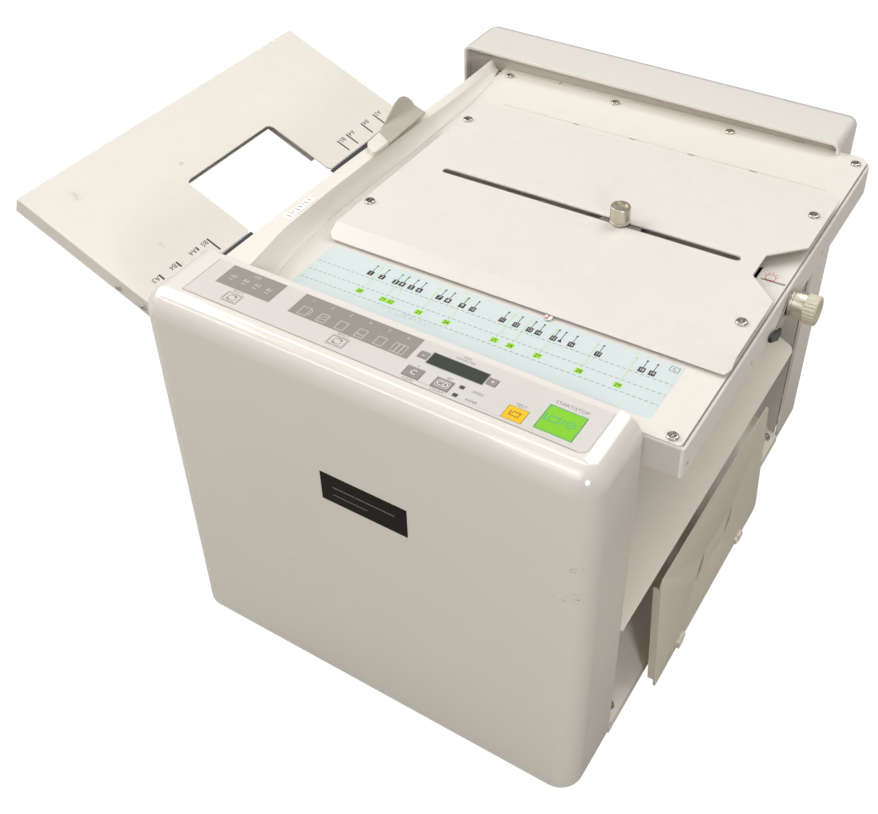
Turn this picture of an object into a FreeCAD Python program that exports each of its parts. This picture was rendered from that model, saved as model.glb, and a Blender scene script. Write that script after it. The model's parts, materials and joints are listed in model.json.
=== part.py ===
import FreeCAD, Part
import math, os
from FreeCAD import Vector as V, Matrix

# Desk-top paper folding machine, buckle-plate type.  Millimetres, +Z up.
# Working frame: X to the right along the front cover (0 = its left face), Y to the back
# (0 = front face), Z up (0 = bottom edge of the covers).  Everything is moved at the end so
# that the origin is the middle of the underside of the whole object.

# ---------------------------------------------------------------- driving dimensions
W = 346.0            # covers, along X
DC = 62.5            # front cover depth
YR0, YR1 = 425.5, 487.5   # rear cover inner face and back face
HF, HR = 324.0, 321.5     # cover heights
RC = 18.0            # rounding of the covers' outer edges
WALL = 2.5
YC = 244.0           # middle of the paper path
FOOT = 8.0           # foot height below the covers
# first fold plate (table): local frame u=X, y, h above the table sheet, rising 1 degree to the right
TILT, ZT0 = 1.0, 305.3
TX0, TX1, TY0, TY1 = 40.0, 369.0, 64.2, 432.0
PAN_H = 25.0         # depth of the pan under the table sheet
FLOOR_H = 23.5       # top of the pan floor, below the table sheet
CHAN = 4.6           # height of the paper channel in it
# second fold plate
P2_ANG, P2X, P2Z = 27.0, 68.1, 260.2
P2_LEN = 311.5
# delivery chute
CH_ANG, CHX, CHZ = 34.0, 346.0, 5.5
# feed tray
TR_ANG, TRX, TRZ = 22.8, -83.2, 242.8
TR_U0, TR_U1, TR_Y0, TR_Y1 = -125.4, 18.0, 68.6, 419.4
# rollers
RR = 10.0            # fold roller radius
NIP = 20.4           # distance of neighbouring roller axes
NX, NZ = 32.0, 275.3 # axis of fold roller 2
FEED_X, FEED_Z, FEED_R = -12.0, 230.6, 15.0
SH = 4.0             # roller shaft radius
RUN = 0.05           # running clearance on radius
# delivery plate
DPX, DPZ, DP_LEAN = 358.6, 1.5, 2.9
OX, OY, OZ = 95.6, 243.6, -FOOT   # moved to the origin at the end

N = {}


def box(x0, x1, y0, y1, z0, z1):
    return Part.makeBox(x1 - x0, y1 - y0, z1 - z0, V(x0, y0, z0))


def cyl(x, y, z, r, l, d=(0, 0, 1)):
    return Part.makeCylinder(r, l, V(x, y, z), V(*d))


def cone(x, y, z, r1, r2, l, d=(0, 0, 1)):
    return Part.makeCone(r1, r2, l, V(x, y, z), V(*d))


def prism_xz(pts, y0, y1):
    w = Part.makePolygon([V(a, y0, b) for a, b in pts] + [V(pts[0][0], y0, pts[0][1])])
    return Part.Face(w).extrude(V(0, y1 - y0, 0))


def prism_yz(pts, x0, x1):
    w = Part.makePolygon([V(x0, a, b) for a, b in pts] + [V(x0, pts[0][0], pts[0][1])])
    return Part.Face(w).extrude(V(x1 - x0, 0, 0))


def prism_xy(pts, z0, z1):
    w = Part.makePolygon([V(a, b, z0) for a, b in pts] + [V(pts[0][0], pts[0][1], z0)])
    return Part.Face(w).extrude(V(0, 0, z1 - z0))


def fuse(*s):
    r = s[0]
    if len(s) > 1:
        r = s[0].multiFuse(list(s[1:]))
    return r.removeSplitter()


def cut(a, *b):
    return a.cut(list(b)) if len(b) > 1 else a.cut(b[0])


def group(*s):
    return Part.makeCompound(list(s))


def fil(shape, r, test):
    es = [e for e in shape.Edges if test(e)]
    return shape.makeFillet(r, es) if es else shape


def mid(e):
    return e.CenterOfMass


def along(e, d):
    if len(e.Vertexes) < 2 or not isinstance(e.Curve, Part.Line):
        return False
    t = e.Vertexes[1].Point.sub(e.Vertexes[0].Point)
    t.normalize()
    return abs(t.dot(V(*d))) > 0.999


def vert_edges(shape, r, pts, d=(0, 0, 1), tol=0.6):
    """fillet the edges along d that pass near the given (a, b) positions in the other two axes"""
    k = [i for i in range(3) if d[i] == 0]

    def t(e):
        if not along(e, d):
            return False
        m = mid(e)
        c = (m[k[0]], m[k[1]])
        return any(abs(c[0] - p[0]) < tol and abs(c[1] - p[1]) < tol for p in pts)
    return fil(shape, r, t)


def rot_y(shape, deg, x, z):
    s = shape.copy()
    s.rotate(V(0, 0, 0), V(0, 1, 0), deg)
    s.translate(V(x, 0, z))
    return s


def tab(shape):        # from table frame
    return rot_y(shape, -TILT, 0, ZT0)


def tray(shape):       # from tray frame: u to the right and down, h above the tray
    return rot_y(shape, TR_ANG, TRX, TRZ)


def p2(shape):         # from second fold plate frame
    return rot_y(shape, P2_ANG, P2X, P2Z)


def chute(shape):      # from chute frame, u negative up the slope
    return rot_y(shape, CH_ANG, CHX, CHZ)


def tray_z(x, h=0.0):
    t = math.radians(TR_ANG)
    return TRZ + (TRX - x) * math.tan(t) + h / math.cos(t)


def rnd_box(x0, x1, y0, y1, z0, z1, r, front, rs=None):
    """box rounded on its outer long top edge, two outer upright edges and two short top edges (radius rs)"""
    s = box(x0, x1, y0, y1, z0, z1)
    yo = y0 if front else y1
    if rs:
        s = fil(s, rs, lambda e: along(e, (0, 1, 0)) and abs(mid(e).z - z1) < 1e-3)
        return fil(s, r, lambda e: abs(mid(e).y - yo) < 1e-3 and (along(e, (0, 0, 1)) or (mid(e).z > z1 - rs and not along(e, (0, 1, 0)))))

    def t(e):
        m = mid(e)
        if along(e, (1, 0, 0)):
            return abs(m.y - yo) < 1e-3 and abs(m.z - z1) < 1e-3
        if along(e, (0, 0, 1)):
            return abs(m.y - yo) < 1e-3
        if along(e, (0, 1, 0)):
            return abs(m.z - z1) < 1e-3
        return False
    return fil(s, r, t)


def cyl_y(x, z, r, y0, y1):
    return cyl(x, y0, z, r, y1 - y0, (0, 1, 0))


def screw(x, y, z, r=3.6, h=1.9, shank=1.9, length=3.0):
    """pan-head cross-recess screw, head up along +Z, shank below"""
    head = cyl(x, y, z, r, h)
    head = fil(head, min(1.2, h * 0.6), lambda e: abs(mid(e).z - (z + h)) < 1e-3 and len(e.Vertexes) == 1)
    rec = fuse(box(x - 0.35 * r * 1.5, x + 0.35 * r * 1.5, y - 0.35, y + 0.35, z + h - 0.9, z + h + 1),
               box(x - 0.35, x + 0.35, y - 0.35 * r * 1.5, y + 0.35 * r * 1.5, z + h - 0.9, z + h + 1))
    return fuse(head.cut(rec), cyl(x, y, z - length, shank, length))


def gear(x, z, n, pitch_r, y0, y1, bore, phase, add=0.95, ded=1.25, frac=0.42):
    """spur gear about Y with straight-flanked teeth; phase = angle of one tooth's middle (deg)"""
    pts = []
    p = 2 * math.pi / n
    for i in range(n):
        a = math.radians(phase) + i * p
        for da, r in ((-frac * p * 0.62, pitch_r - ded), (-frac * p * 0.28, pitch_r + add),
                      (frac * p * 0.28, pitch_r + add), (frac * p * 0.62, pitch_r - ded)):
            pts.append((x + r * math.cos(a + da), z + r * math.sin(a + da)))
    g = prism_xz(pts, y0, y1)
    return g.cut(cyl_y(x, z, bore, y0 - 1, y1 + 1))


# ---------------------------------------------------------------- covers
cover = rnd_box(0, W, 0, DC, 0, HF, RC, True)
cav = rnd_box(WALL, W - WALL, WALL, DC - WALL, -20, HF - WALL, RC - WALL, True)
cav = fuse(cav, box(WALL, W - WALL, DC - 20, DC + 5, -20, 284))
cover = cut(cover, cav)
# control panel: keys (name, x, y, size x, size y) and the display window
KEYS = {
    "start_stop_key": (305.5, 34.0, 24.6, 22.0),
    "test_key": (279.0, 26.7, 13.0, 11.0),
    "clear_key": (207.5, 26.8, 12.0, 9.0),
    "counter_key": (228.6, 26.8, 12.0, 9.0),
    "minus_key": (204.3, 43.8, 6.4, 6.0),
    "plus_key": (253.8, 43.8, 6.4, 6.0),
    "paper_size_key": (63.5, 27.2, 12.5, 9.0),
    "fold_type_key": (150.1, 26.8, 12.5, 9.0),
}
LCD = (209.0, 249.3, 38.4, 49.2)
OV = (28.3, 329.3, 18.0, 57.0)
GAP = 0.35
KEY_H = 0.45         # key tops above the cover
holes = [box(x - a / 2 - GAP, x + a / 2 + GAP, y - b / 2 - GAP, y + b / 2 + GAP, HF - 5, HF + 3)
         for x, y, a, b in KEYS.values()]
holes.append(box(LCD[0] - 0.05, LCD[1] + 0.05, LCD[2] - 0.05, LCD[3] + 0.05, HF - 5, HF + 3))
NP = (146.0, 215.5, 203.0, 229.0)
plate_pocket = box(NP[0] - 0.1, NP[1] + 0.1, -1, 0.6, NP[2] - 0.1, NP[3] + 0.1)
N["front_cover"] = cut(cover, plate_pocket, *holes)
ov = box(OV[0], OV[1], OV[2], OV[3], HF, HF + 0.35)
ov = vert_edges(ov, 5.0, [(OV[1], OV[2])])
ov = vert_edges(ov, 1.0, [(OV[0], OV[2]), (OV[0], OV[3]), (OV[1], OV[3])])
N["control_overlay"] = cut(ov, *holes)
lcd = box(LCD[0], LCD[1], LCD[2], LCD[3], HF - 5.6, HF + 0.25)
for k, (x, y, a, b) in KEYS.items():
    s = box(x - a / 2, x + a / 2, y - b / 2, y + b / 2, HF - 5.0, HF + KEY_H)
    s = fil(s, 0.3, lambda e: abs(mid(e).z - (HF + KEY_H)) < 1e-3)
    st = cyl(x, y, HF - 8.6, 1.6, 4.0)
    N[k] = fuse(s, st)
npl = box(NP[0], NP[1], -0.3, 0.6, NP[2], NP[3])
N["name_plate"] = fil(npl, 0.25, lambda e: abs(mid(e).y + 0.3) < 1e-3)
board = box(34, 324, 12, 54, HF - 12.8, HF - 11.2)
sw = [box(x - 3, x + 3, y - 3, y + 3, HF - 11.2, HF - 9.4) for x, y, a, b in KEYS.values()]
posts = [cyl(x, y, HF - 11.2, 2.2, 11.2 - WALL) for x, y in ((40, 20.6), (182, 20.6), (270, 50), (40, 50), (262, 20.6))]
lcdm = box(207.9, 250.2, 37, 50.6, HF - 11.2, HF - 5.6)
control_board = fuse(board, lcdm, *(sw + posts))

rc = rnd_box(0, W, YR0, YR1, 0, HR, RC, False, 6.5)
YIN = YR0 + 6.8      # inner wall, set back under the cover's lip
cav = rnd_box(WALL, W - WALL, YIN + WALL, YR1 - WALL, -20, HR - WALL, RC - WALL, False, 4.0)
recess = box(WALL, W - WALL, YR0 - 5, YIN, -20, HR - WALL)
recess = fil(recess, 4.0, lambda e: along(e, (0, 1, 0)) and mid(e).z > HR - 3)
cav = fuse(cav, box(WALL, W - WALL, YR0 - 5, YR0 + 20, -20, 284), recess, cyl_y(NX, NZ + NIP, 6.0, YR0, YIN + 10))
rc = cut(rc, cav, box(W - WALL - 1, W + 5, YR0 - 5, YIN, 281.0, 311.8))
rc = fil(rc, 0.5, lambda e: along(e, (1, 0, 0)) and abs(mid(e).y - YR0) < 1e-3 and abs(mid(e).z - HR) < 1e-3)
INX, INZ, SWX, SWZ = 40.0, 44.0, 92.0, 44.0
rc = cut(rc, box(INX - 14, INX + 14, YR1 - 6, YR1 + 1, INZ - 10.5, INZ + 10.5),
         box(SWX - 6.6, SWX + 6.6, YR1 - 6, YR1 + 1, SWZ - 9.6, SWZ + 9.6))
vents = [box(200 + i * 10, 203 + i * 10, YR1 - 6, YR1 + 1, 60, 95) for i in range(9)]
N["rear_cover"] = cut(rc, *vents)

# ---------------------------------------------------------------- mains inlet and rocker switch (back of the rear cover)
inl = fuse(box(INX - 13.9, INX + 13.9, YR1 - 14, YR1 + 0.2, INZ - 10.4, INZ + 10.4),
           box(INX - 17, INX + 17, YR1, YR1 + 1.6, INZ - 13.5, INZ + 13.5))
inl = cut(inl, box(INX - 11.8, INX + 11.8, YR1 - 11.5, YR1 + 3, INZ - 7.8, INZ + 8.2))
pins = [box(INX + dx - 1, INX + dx + 1, YR1 - 12, YR1 - 1.5, INZ + dz - 2, INZ + dz + 2) for dx, dz in ((-7, -2), (7, -2), (0, 2))]
inlet = fuse(inl, *pins)
swf = fuse(box(SWX - 6.5, SWX + 6.5, YR1 - 14, YR1 + 0.2, SWZ - 9.5, SWZ + 9.5),
           box(SWX - 8.5, SWX + 8.5, YR1, YR1 + 1.6, SWZ - 11.5, SWZ + 11.5))
swf = cut(swf, box(SWX - 5.3, SWX + 5.3, YR1 - 9, YR1 + 3, SWZ - 8.8, SWZ + 8.8))
swf = fuse(swf, cyl(SWX - 6.0, YR1 - 3.4, SWZ, 0.9, 12.0, (1, 0, 0)))
N["power_inlet"] = group(inlet, swf)
# rocker: shallow V section turning about an X axis behind the panel, resting in the off position
def rocker():
    y0 = YR1 - 3.4
    prof = [(y0 - 2.6, SWZ - 4.5), (y0 + 1.6, SWZ - 7.2), (y0 + 3.4, SWZ - 7.2), (y0 + 3.0, SWZ), (y0 + 5.2, SWZ + 7.2),
            (y0 + 2.2, SWZ + 7.2), (y0 - 2.6, SWZ + 4.5)]
    r = prism_yz(prof, SWX - 4.9, SWX + 4.9)
    return r.cut(cyl(SWX - 7, y0, SWZ, 0.9 + RUN, 14, (1, 0, 0)))
N["power_rocker"] = rocker()

# ---------------------------------------------------------------- frame
base = box(6, 340, 6, 481.5, 0.3, 1.8)
N["base_plate"] = vert_edges(base, 6, [(6, 6), (6, 481.5), (340, 6), (340, 481.5)])
FEET = [(30, 40), (316, 40), (30, 448), (316, 448)]
ft = []
for x, y in FEET:
    c = cone(x, y, -FOOT, 9.0, 10.5, FOOT + 0.3)
    c = fil(c, 1.2, lambda e: abs(mid(e).z + FOOT) < 1e-3)
    ft.append(c)
N["rubber_feet"] = group(*ft)
AX = {1: (NX, NZ + NIP), 2: (NX, NZ), 3: (NX + NIP, NZ), 4: (NX, NZ - NIP)}
TIE = []
def p2pt(u, h):
    a = math.radians(P2_ANG)
    return (P2X + u * math.cos(a) + h * math.sin(a), P2Z - u * math.sin(a) + h * math.cos(a))
TIE.append(p2pt(52, -10.5))
TIE.append(p2pt(296, -10.5))
TIE.append((18.0, 60.0))
TR_ = 6.0
for name, y0, y1, sg in (("front_side_frame", 62.8, 65.8, 1), ("rear_side_frame", 422.2, 425.2, -1)):
    top_ = [(29, 304.4), (29, 317.5), (8, 317.5), (3, 312.0)] if sg > 0 else [(22, 304.4), (12, 284), (3, 284)]
    s = prism_xz([(3, 1.8), (343, 1.8), (343, 281.2), (65.5, 281.2), (65.5, 296), (43, 296), (43, 304.4)] + top_, y0, y1)
    s = cut(s, *[cyl_y(a[0], a[1], 7.0, y0 - 1, y1 + 1) for a in AX.values()])
    s = cut(s, *[cyl_y(a[0], a[1], 2.7, y0 - 1, y1 + 1) for a in TIE])
    yi = y1 if sg > 0 else y0
    fl = box(20, 330, min(yi, yi + sg * 12), max(yi, yi + sg * 12), 1.8, 3.3)
    rail = fuse(tab(box(80, 343, min(yi, yi + sg * 1.5), max(yi, yi + sg * 1.5), -45, -PAN_H)),
                tab(box(80, 343, min(yi, yi + sg * 10), max(yi, yi + sg * 10), -PAN_H - 1.5, -PAN_H)))
    rail = rail.common(box(0, 400, 50, 430, 262, 400))
    s = fuse(s, fl, rail)
    if sg < 0:
        s = s.cut(cyl_y(190, 90, 9.0, y0 - 1, y1 + 1))
    N[name] = s
N["tie_bars"] = group(*[fuse(cyl_y(a[0], a[1], TR_, 65.8, 422.2), cyl_y(a[0], a[1], 2.6, 62.8, 425.2)) for a in TIE])
# ---------------------------------------------------------------- first fold plate (table), table frame
top = box(TX0, TX1, TY0, TY1, -1.2, 0)
top = vert_edges(top, 3.0, [(TX1, TY0)])
top = vert_edges(top, 9.0, [(TX1, TY1)])
SY = 243.0
top = cut(top, box(92, 336, SY - 6, SY + 6, -3, 1), box(350.5, 368.0, 241.7, 243.7, -3, 1), box(345.2, 348.0, 241.0, 256.0, -3, 1))
top = cut(top, box(73, 354, 370.8, 372.2, -0.5, 1), *[box(x - 3, x + 3, 370.6, 372.4, -3, 1) for x in (142.5, 193.4, 244.7, 296.3)])
top = cut(top, box(96.7, 97.5, TY1 - 5.5, TY1 + 1, -3, 1), box(306.0, 317.0, TY1 - 1.0, TY1 + 1, -3, 1))
TSC = [(51.6 + 103.4 * i, 419.3) for i in range(4)] + [(361.6, 69.0)]
top = cut(top, *[cyl(x, y, -3, 2.0, 6) for x, y in TSC])
N["table_sheet"] = tab(top)
pan = box(66, 371.6, 63.0, 431.4, -PAN_H, -1.2)
pan = vert_edges(pan, 3.0, [(371.6, 63.0)])
pan = vert_edges(pan, 9.0, [(371.6, 431.4)])
pan = fil(pan, 1.5, lambda e: abs(mid(e).z + 1.2) < 1e-3 and (mid(e).x > 371 or not along(e, (0, 1, 0))) and mid(e).x > 67)
inner2 = vert_edges(box(60, 370.2, 64.4, 430.0, -FLOOR_H, -2.6), 7.6, [(370.2, 430.0)])
inner3 = box(60, 352, 72, 416, -3, 5)
pan = cut(pan, inner2, inner3)
pan = cut(pan, cyl(360, 245, -14.75, 1.8 + RUN, 20, (1, 0, 0)), *[cyl(x, y, -3, 2.0, 6) for x, y in TSC])
pan = cut(pan, box(340, 369.5, 236, 250, -17.5, 1))
pan = cut(pan, *[cyl(368, y, -19.0, 1.6, 10, (1, 0, 0)) for y in (71.8, 176.6, 318.7)])
N["fold_plate_1_pan"] = tab(pan)
GB = -FLOOR_H + CHAN
gd = [box(70, 344, 66.0, SY - 5.0, GB, GB + 1), box(70, 344, SY + 5.0, 422.0, GB, GB + 1),
      box(70, 344, 66.0, 69.0, -FLOOR_H, GB), box(70, 344, 419.0, 422.0, -FLOOR_H, GB)]
N["fold_plate_1_guide"] = tab(group(*gd))
CH = (70.0, 343.8, 76.0, 129.5)
N["setting_chart"] = tab(box(CH[0], CH[1], CH[2], CH[3], 0, 0.15))
# stopper 1
XS = 243.3
B0, B1 = -FLOOR_H + 0.4, GB - 0.4
bar1 = fuse(box(XS - 2.5, XS + 2.5, 84, 404, B0, B1), box(XS - 12, XS + 12, SY - 14, SY + 14, B0, B1), box(XS - 5, XS + 5, SY - 4.5, SY + 4.5, B1 - 0.5, 1.0))
blk = box(XS - 16, XS + 16, SY - 14, SY + 14, 1.0, 8.3)
blk = vert_edges(blk, 2.0, [(XS - 16, SY - 14), (XS + 16, SY - 14), (XS - 16, SY + 14), (XS + 16, SY + 14)])
stud = cyl(XS, SY, 8.0, 1.7, 13.2)
ptr = prism_xy([(XS - 0.4, SY - 12), (XS + 5.6, SY - 12), (XS + 5.6, 133.5), (XS + 2.6, 128.5), (XS - 0.4, 133.5)], 0.5, 1.0)
N["stopper_1"] = tab(group(bar1, fuse(blk, stud), ptr))


def knurled(x, y, z0, r, h, n=36, bore=1.7 + RUN, depth=12.6):
    k = cyl(x, y, z0, r, h)
    k = fil(k, 0.8, lambda e: len(e.Vertexes) == 1)
    grooves = [cyl(x + (r + 0.25) * math.cos(i * 2 * math.pi / n), y + (r + 0.25) * math.sin(i * 2 * math.pi / n), z0 + 3.0, 0.5, h - 4.5)
               for i in range(n)]
    k = k.cut(grooves)
    k = k.cut(cyl(x, y, z0 - 1, bore, depth + 1))
    return k.cut(cyl(x, y, z0 + h - 1.2, r - 2.2, 3))


N["clamp_knob_1"] = tab(knurled(XS, SY, 10.6, 7.3, 14.0, bore=1.7 + RUN, depth=11.2))
# cover plate over the stopper, with bent front lip and notch
F0, F1, FB, FF = 63.0, 370.5, 350.5, 144.0
T_F = 1.2
fp = prism_xy([(F0 + 4, FB), (F0, FB - 4), (F0, FF - 0.0), (F1, FF - 0.0), (F1, 208.5), (348.3, 229.8), (348.3, 256.2), (F1, 278.8),
               (F1, FB - 3), (F1 - 3, FB)], 10 - T_F, 10)
lip = prism_yz([(FF + 0.4, 10 - T_F), (FF + 0.4, 10), (FF, 10), (133.4, 3.2), (132.6, 2.4), (133.6, 1.9), (FF - 0.3, 10 - T_F)], F0, F1)
lip = cut(lip, prism_xy([(F0 - 1, 130), (F0 + 7, 130), (F0 - 1, 137)], 0, 12), prism_xy([(F1 + 1, 130), (F1 - 5, 130), (F1 + 1, 138)], 0, 12))
fp = fuse(fp, lip)
slot = fuse(box(96, 331.6, SY - 3.2, SY + 3.2, 5, 12), cyl(96, SY, 5, 3.2, 7), cyl(331.6, SY, 5, 3.2, 7))
FSC = [(69.5, 177.4), (69.5, 318.4), (360.8, 177.4), (360.8, 318.4)]
fp = cut(fp, slot, *[cyl(x, y, 5, 2.0, 8) for x, y in FSC])
N["stopper_cover_plate"] = tab(fp)
spacers = tab(group(*[cut(cyl(x, y, 0, 4.5, 10 - T_F), cyl(x, y, -1, 2.0, 12)) for x, y in FSC]))
cp_screws = tab(group(*[screw(x, y, 10.0, 4.0, 2.0, 1.9, 9.5) for x, y in FSC]))
t_screws = tab(group(*[screw(x, y, 0.0, 3.8, 1.9, 1.9, 2.4) for x, y in TSC]))
# skew adjustment at the right end
SKY = 245.0
sk = cyl(342.0, SKY, -14.75, 1.8, 51.0, (1, 0, 0))
col = cyl(373.4, SKY, -14.75, 9.8, 10.6, (1, 0, 0))
col = fil(col, 0.8, lambda e: len(e.Vertexes) == 1)
collar = fuse(sk, col)
grip = cyl(384.0, SKY, -14.75, 10.6, 9.0, (1, 0, 0))
grip = fil(grip, 1.2, lambda e: len(e.Vertexes) == 1 and mid(e).x > 390)
gg = [cyl(383.0, SKY + 11.25 * math.cos(i * math.pi / 12), -14.75 + 11.25 * math.sin(i * math.pi / 12), 1.0, 8.6, (1, 0, 0)) for i in range(24)]
grip = grip.cut(gg).cut(cyl(383, SKY, -14.75, 1.8, 11.0, (1, 0, 0)))
N["skew_knob"] = tab(group(collar, grip))
ind = box(354.0, 361.0, 240.0, 249.6, -18.2, -2.2)
ind = ind.cut(cyl(350, SKY, -14.75, 1.8 + RUN, 20, (1, 0, 0)))
N["skew_indicator"] = tab(fuse(ind, cyl(357.5, 242.7, -3.0, 0.65, 3.3)))
# lock lever: thin plate on the knob's axis, running forward and down beside the skirt, with a black tip
lv = fuse(cyl(371.95, SKY, -14.75, 7.5, 1.0, (1, 0, 0)),
          prism_yz([(SKY - 3, -7.9), (SKY + 3.5, -21.2), (SKY - 17, -31.0), (SKY - 24, -26.5), (SKY - 21, -21.5)], 371.95, 372.95))
lv = lv.cut(cyl(370, SKY, -14.75, 1.8 + RUN, 5, (1, 0, 0)))
tip = prism_yz([(SKY - 16, -25.5), (SKY - 15.5, -32.0), (SKY - 22, -32.5), (SKY - 38.5, -22.5), (SKY - 38.5, -18.5), (SKY - 34, -18.0)], 371.95, 374.4)
tip = fil(tip, 0.6, lambda e: not along(e, (1, 0, 0)))
tip = tip.cut(lv)
N["skew_lock_lever"] = tab(group(lv, tip))

# ---------------------------------------------------------------- rim between the covers at the left
def rim_section(y, xo, zt, xi, zi, xb, skirt):
    """closed section: outer edge, top band falling to the ridge (xi, zi), hollow down to the table sheet, back along the inside"""
    zb = ZT0 + xb * math.tan(math.radians(TILT)) + 0.02
    t = 2.2
    pts = [(xo, zt - skirt), (xo, zt - 1.6), (xo + 0.5, zt - 0.5), (xo + 1.6, zt), (xi, zi)]
    c = (xi + 0.34 * (xb - xi), zb + 0.26 * (zi - zb))
    def bez(p0, p1, p2, n):
        return [((1 - k / n) ** 2 * p0[0] + 2 * (k / n) * (1 - k / n) * p1[0] + (k / n) ** 2 * p2[0],
                 (1 - k / n) ** 2 * p0[1] + 2 * (k / n) * (1 - k / n) * p1[1] + (k / n) ** 2 * p2[1]) for k in range(1, n + 1)]
    pts += bez((xi, zi), c, (xb, zb + 0.45), 7)
    pts += [(xb, zb)]
    pts += [(xb - 3.0, zb)] + bez((xb - 3.0, zb), (c[0] - t * 0.9, c[1] + t * 0.2), (max(xi - t * 0.6, xo + t + 0.3), zi - t), 6)
    pts += [(xo + t, zt - t), (xo + t, zt - skirt)]
    return Part.makePolygon([V(a, y, b) for a, b in pts] + [V(pts[0][0], y, pts[0][1])])


RIM = [(62.9, 27.0, 323.6, 49.5, 323.6, 60.0), (110.0, 27.1, 323.6, 42.6, 323.5, 51.0), (160.0, 27.2, 323.6, 41.0, 323.3, 47.4), (225.0, 27.6, 323.0, 40.4, 322.0, 47.6),
       (262.0, 28.6, 321.4, 39.8, 319.8, 48.0), (300.0, 30.0, 318.0, 39.0, 317.0, 48.0), (362.0, 30.2, 316.2, 38.0, 313.6, 47.8), (400.0, 29.4, 315.4, 35.4, 311.4, 43.0),
       (425.1, 28.7, 314.6, 32.4, 310.6, 36.8)]
rim = fuse(*[Part.makeLoft([rim_section(*a, 7.0), rim_section(*b, 7.0)], True, True) for a, b in zip(RIM, RIM[1:])])
N["rim_cover"] = cut(rim, box(20, 60, 62.0, 66.3, 300, 317.9).cut(box(29.5, 60, 60, 70, 290, 320)), box(20, 60, 421.7, 425.5, 300, 312.3).cut(box(29.5, 60, 420, 430, 290, 320)))
# lever on the rim's outer edge: white pivot cap, flat strip with an upturned wing
LVY, LVZ = 238.0, 322.8
LPX = 33.2
N["rim_cover"] = fuse(N["rim_cover"], cyl(LPX, LVY, LVZ - 1.5, 3.0 - RUN, 4.7))
cap = prism_xy([(27.6, 251.4), (28.2, 234.0), (31.0, 230.0), (42.0, 221.8), (42.2, 242.8)], LVZ + 0.9, LVZ + 4.2)
cap = vert_edges(cap, 2.0, [(28.2, 234.0), (31.0, 230.0), (42.0, 221.8)])
cap = fil(cap, 0.9, lambda e: abs(mid(e).z - (LVZ + 4.2)) < 1e-3)
cap = cap.cut(cyl(LPX, LVY, LVZ, 3.0, 3.4))
cap = cap.cut(prism_xy([(33.6, 243.6), (37.4, 241.4), (37.7, 242.0), (34.0, 244.2)], LVZ + 3.6, LVZ + 6))
strip = prism_xy([(27.5, 251.5), (42.2, 242.8), (40.2, 299.3), (24.8, 305.5), (22.6, 261.0)], LVZ + 0.9, LVZ + 2.3)
A_, B_ = V(22.6, 261.0, LVZ + 0.9), V(24.8, 305.5, LVZ + 0.9)
W_ = [V(20.2, 274.0, LVZ + 5.4), V(18.2, 286.8, LVZ + 10.0), V(17.7, 294.4, LVZ + 11.6), V(18.2, 299.2, LVZ + 10.8), V(19.4, 303.2, LVZ + 8.2), V(21.6, 306.0, LVZ + 4.2)]


def tri_prism(a, b, c, t):
    f = Part.Face(Part.makePolygon([a, b, c, a]))
    return f.extrude(t)


tv = V(1.2, 0, 0.5)
wing = fuse(tri_prism(A_, B_, W_[-1], tv), *[tri_prism(A_, b, a, tv) for a, b in zip(W_, W_[1:])])
N["feed_lever"] = group(cap, fuse(strip, wing).cut(cap))

# ---------------------------------------------------------------- feed tray, tray frame
tr = fuse(box(TR_U0, TR_U1, TR_Y0, TR_Y1, -1.2, 0), box(TR_U0, TR_U1, TR_Y0, TR_Y0 + 1.2, -13.6, 0),
          box(TR_U0, TR_U1, TR_Y1 - 1.2, TR_Y1, -13.6, 0), box(TR_U0, TR_U0 + 1.2, TR_Y0, TR_Y1, -13.6, 0))
tr = vert_edges(tr, 1.1, [(TR_U0, TR_Y0), (TR_U0, TR_Y1)])
tr = fil(tr, 0.9, lambda e: abs(mid(e).z) < 1e-3 and (abs(mid(e).x - TR_U0) < 0.01 or abs(mid(e).y - TR_Y0) < 0.01 or abs(mid(e).y - TR_Y1) < 0.01) and len(e.Vertexes) == 2 and isinstance(e.Curve, Part.Line))
win = box(-53.4, TR_U1 + 5, 187.5, 300.5, -5, 5)
win = vert_edges(win, 6.0, [(-53.4, 187.5), (-53.4, 300.5)])
tr = tr.cut(win)
tr = vert_edges(tr, 4.0, [(TR_U1, 187.5), (TR_U1, 300.5)])
TSU = [(-15.5, -8.5), (10.3, -8.5)]
tr = cut(tr, *[cyl(u, 60, h, 1.7, 20, (0, 1, 0)) for u, h in TSU], *[cyl(u, 410, h, 1.7, 20, (0, 1, 0)) for u, h in TSU])
rl = []
for y0, y1, lo in ((162.5, 168.1, 1), (319.9, 325.5, -1)):
    yw0, yw1 = (162.5, 163.7) if lo > 0 else (324.3, 325.5)
    rl.append(fuse(box(-122, -4, yw0, yw1, -17, -1.2), box(-122, -4, y0, y1, -17, -15.9)))
tr = fuse(tr, *rl)
N["feed_tray"] = tray(tr)


def screw_y(u, y, h, sg):
    s = screw(0, 0, 0, 2.7, 1.5, 1.6, 4.0)
    s.rotate(V(0, 0, 0), V(1, 0, 0), 90 if sg < 0 else -90)
    s.translate(V(u, y, h))
    return s


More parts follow.
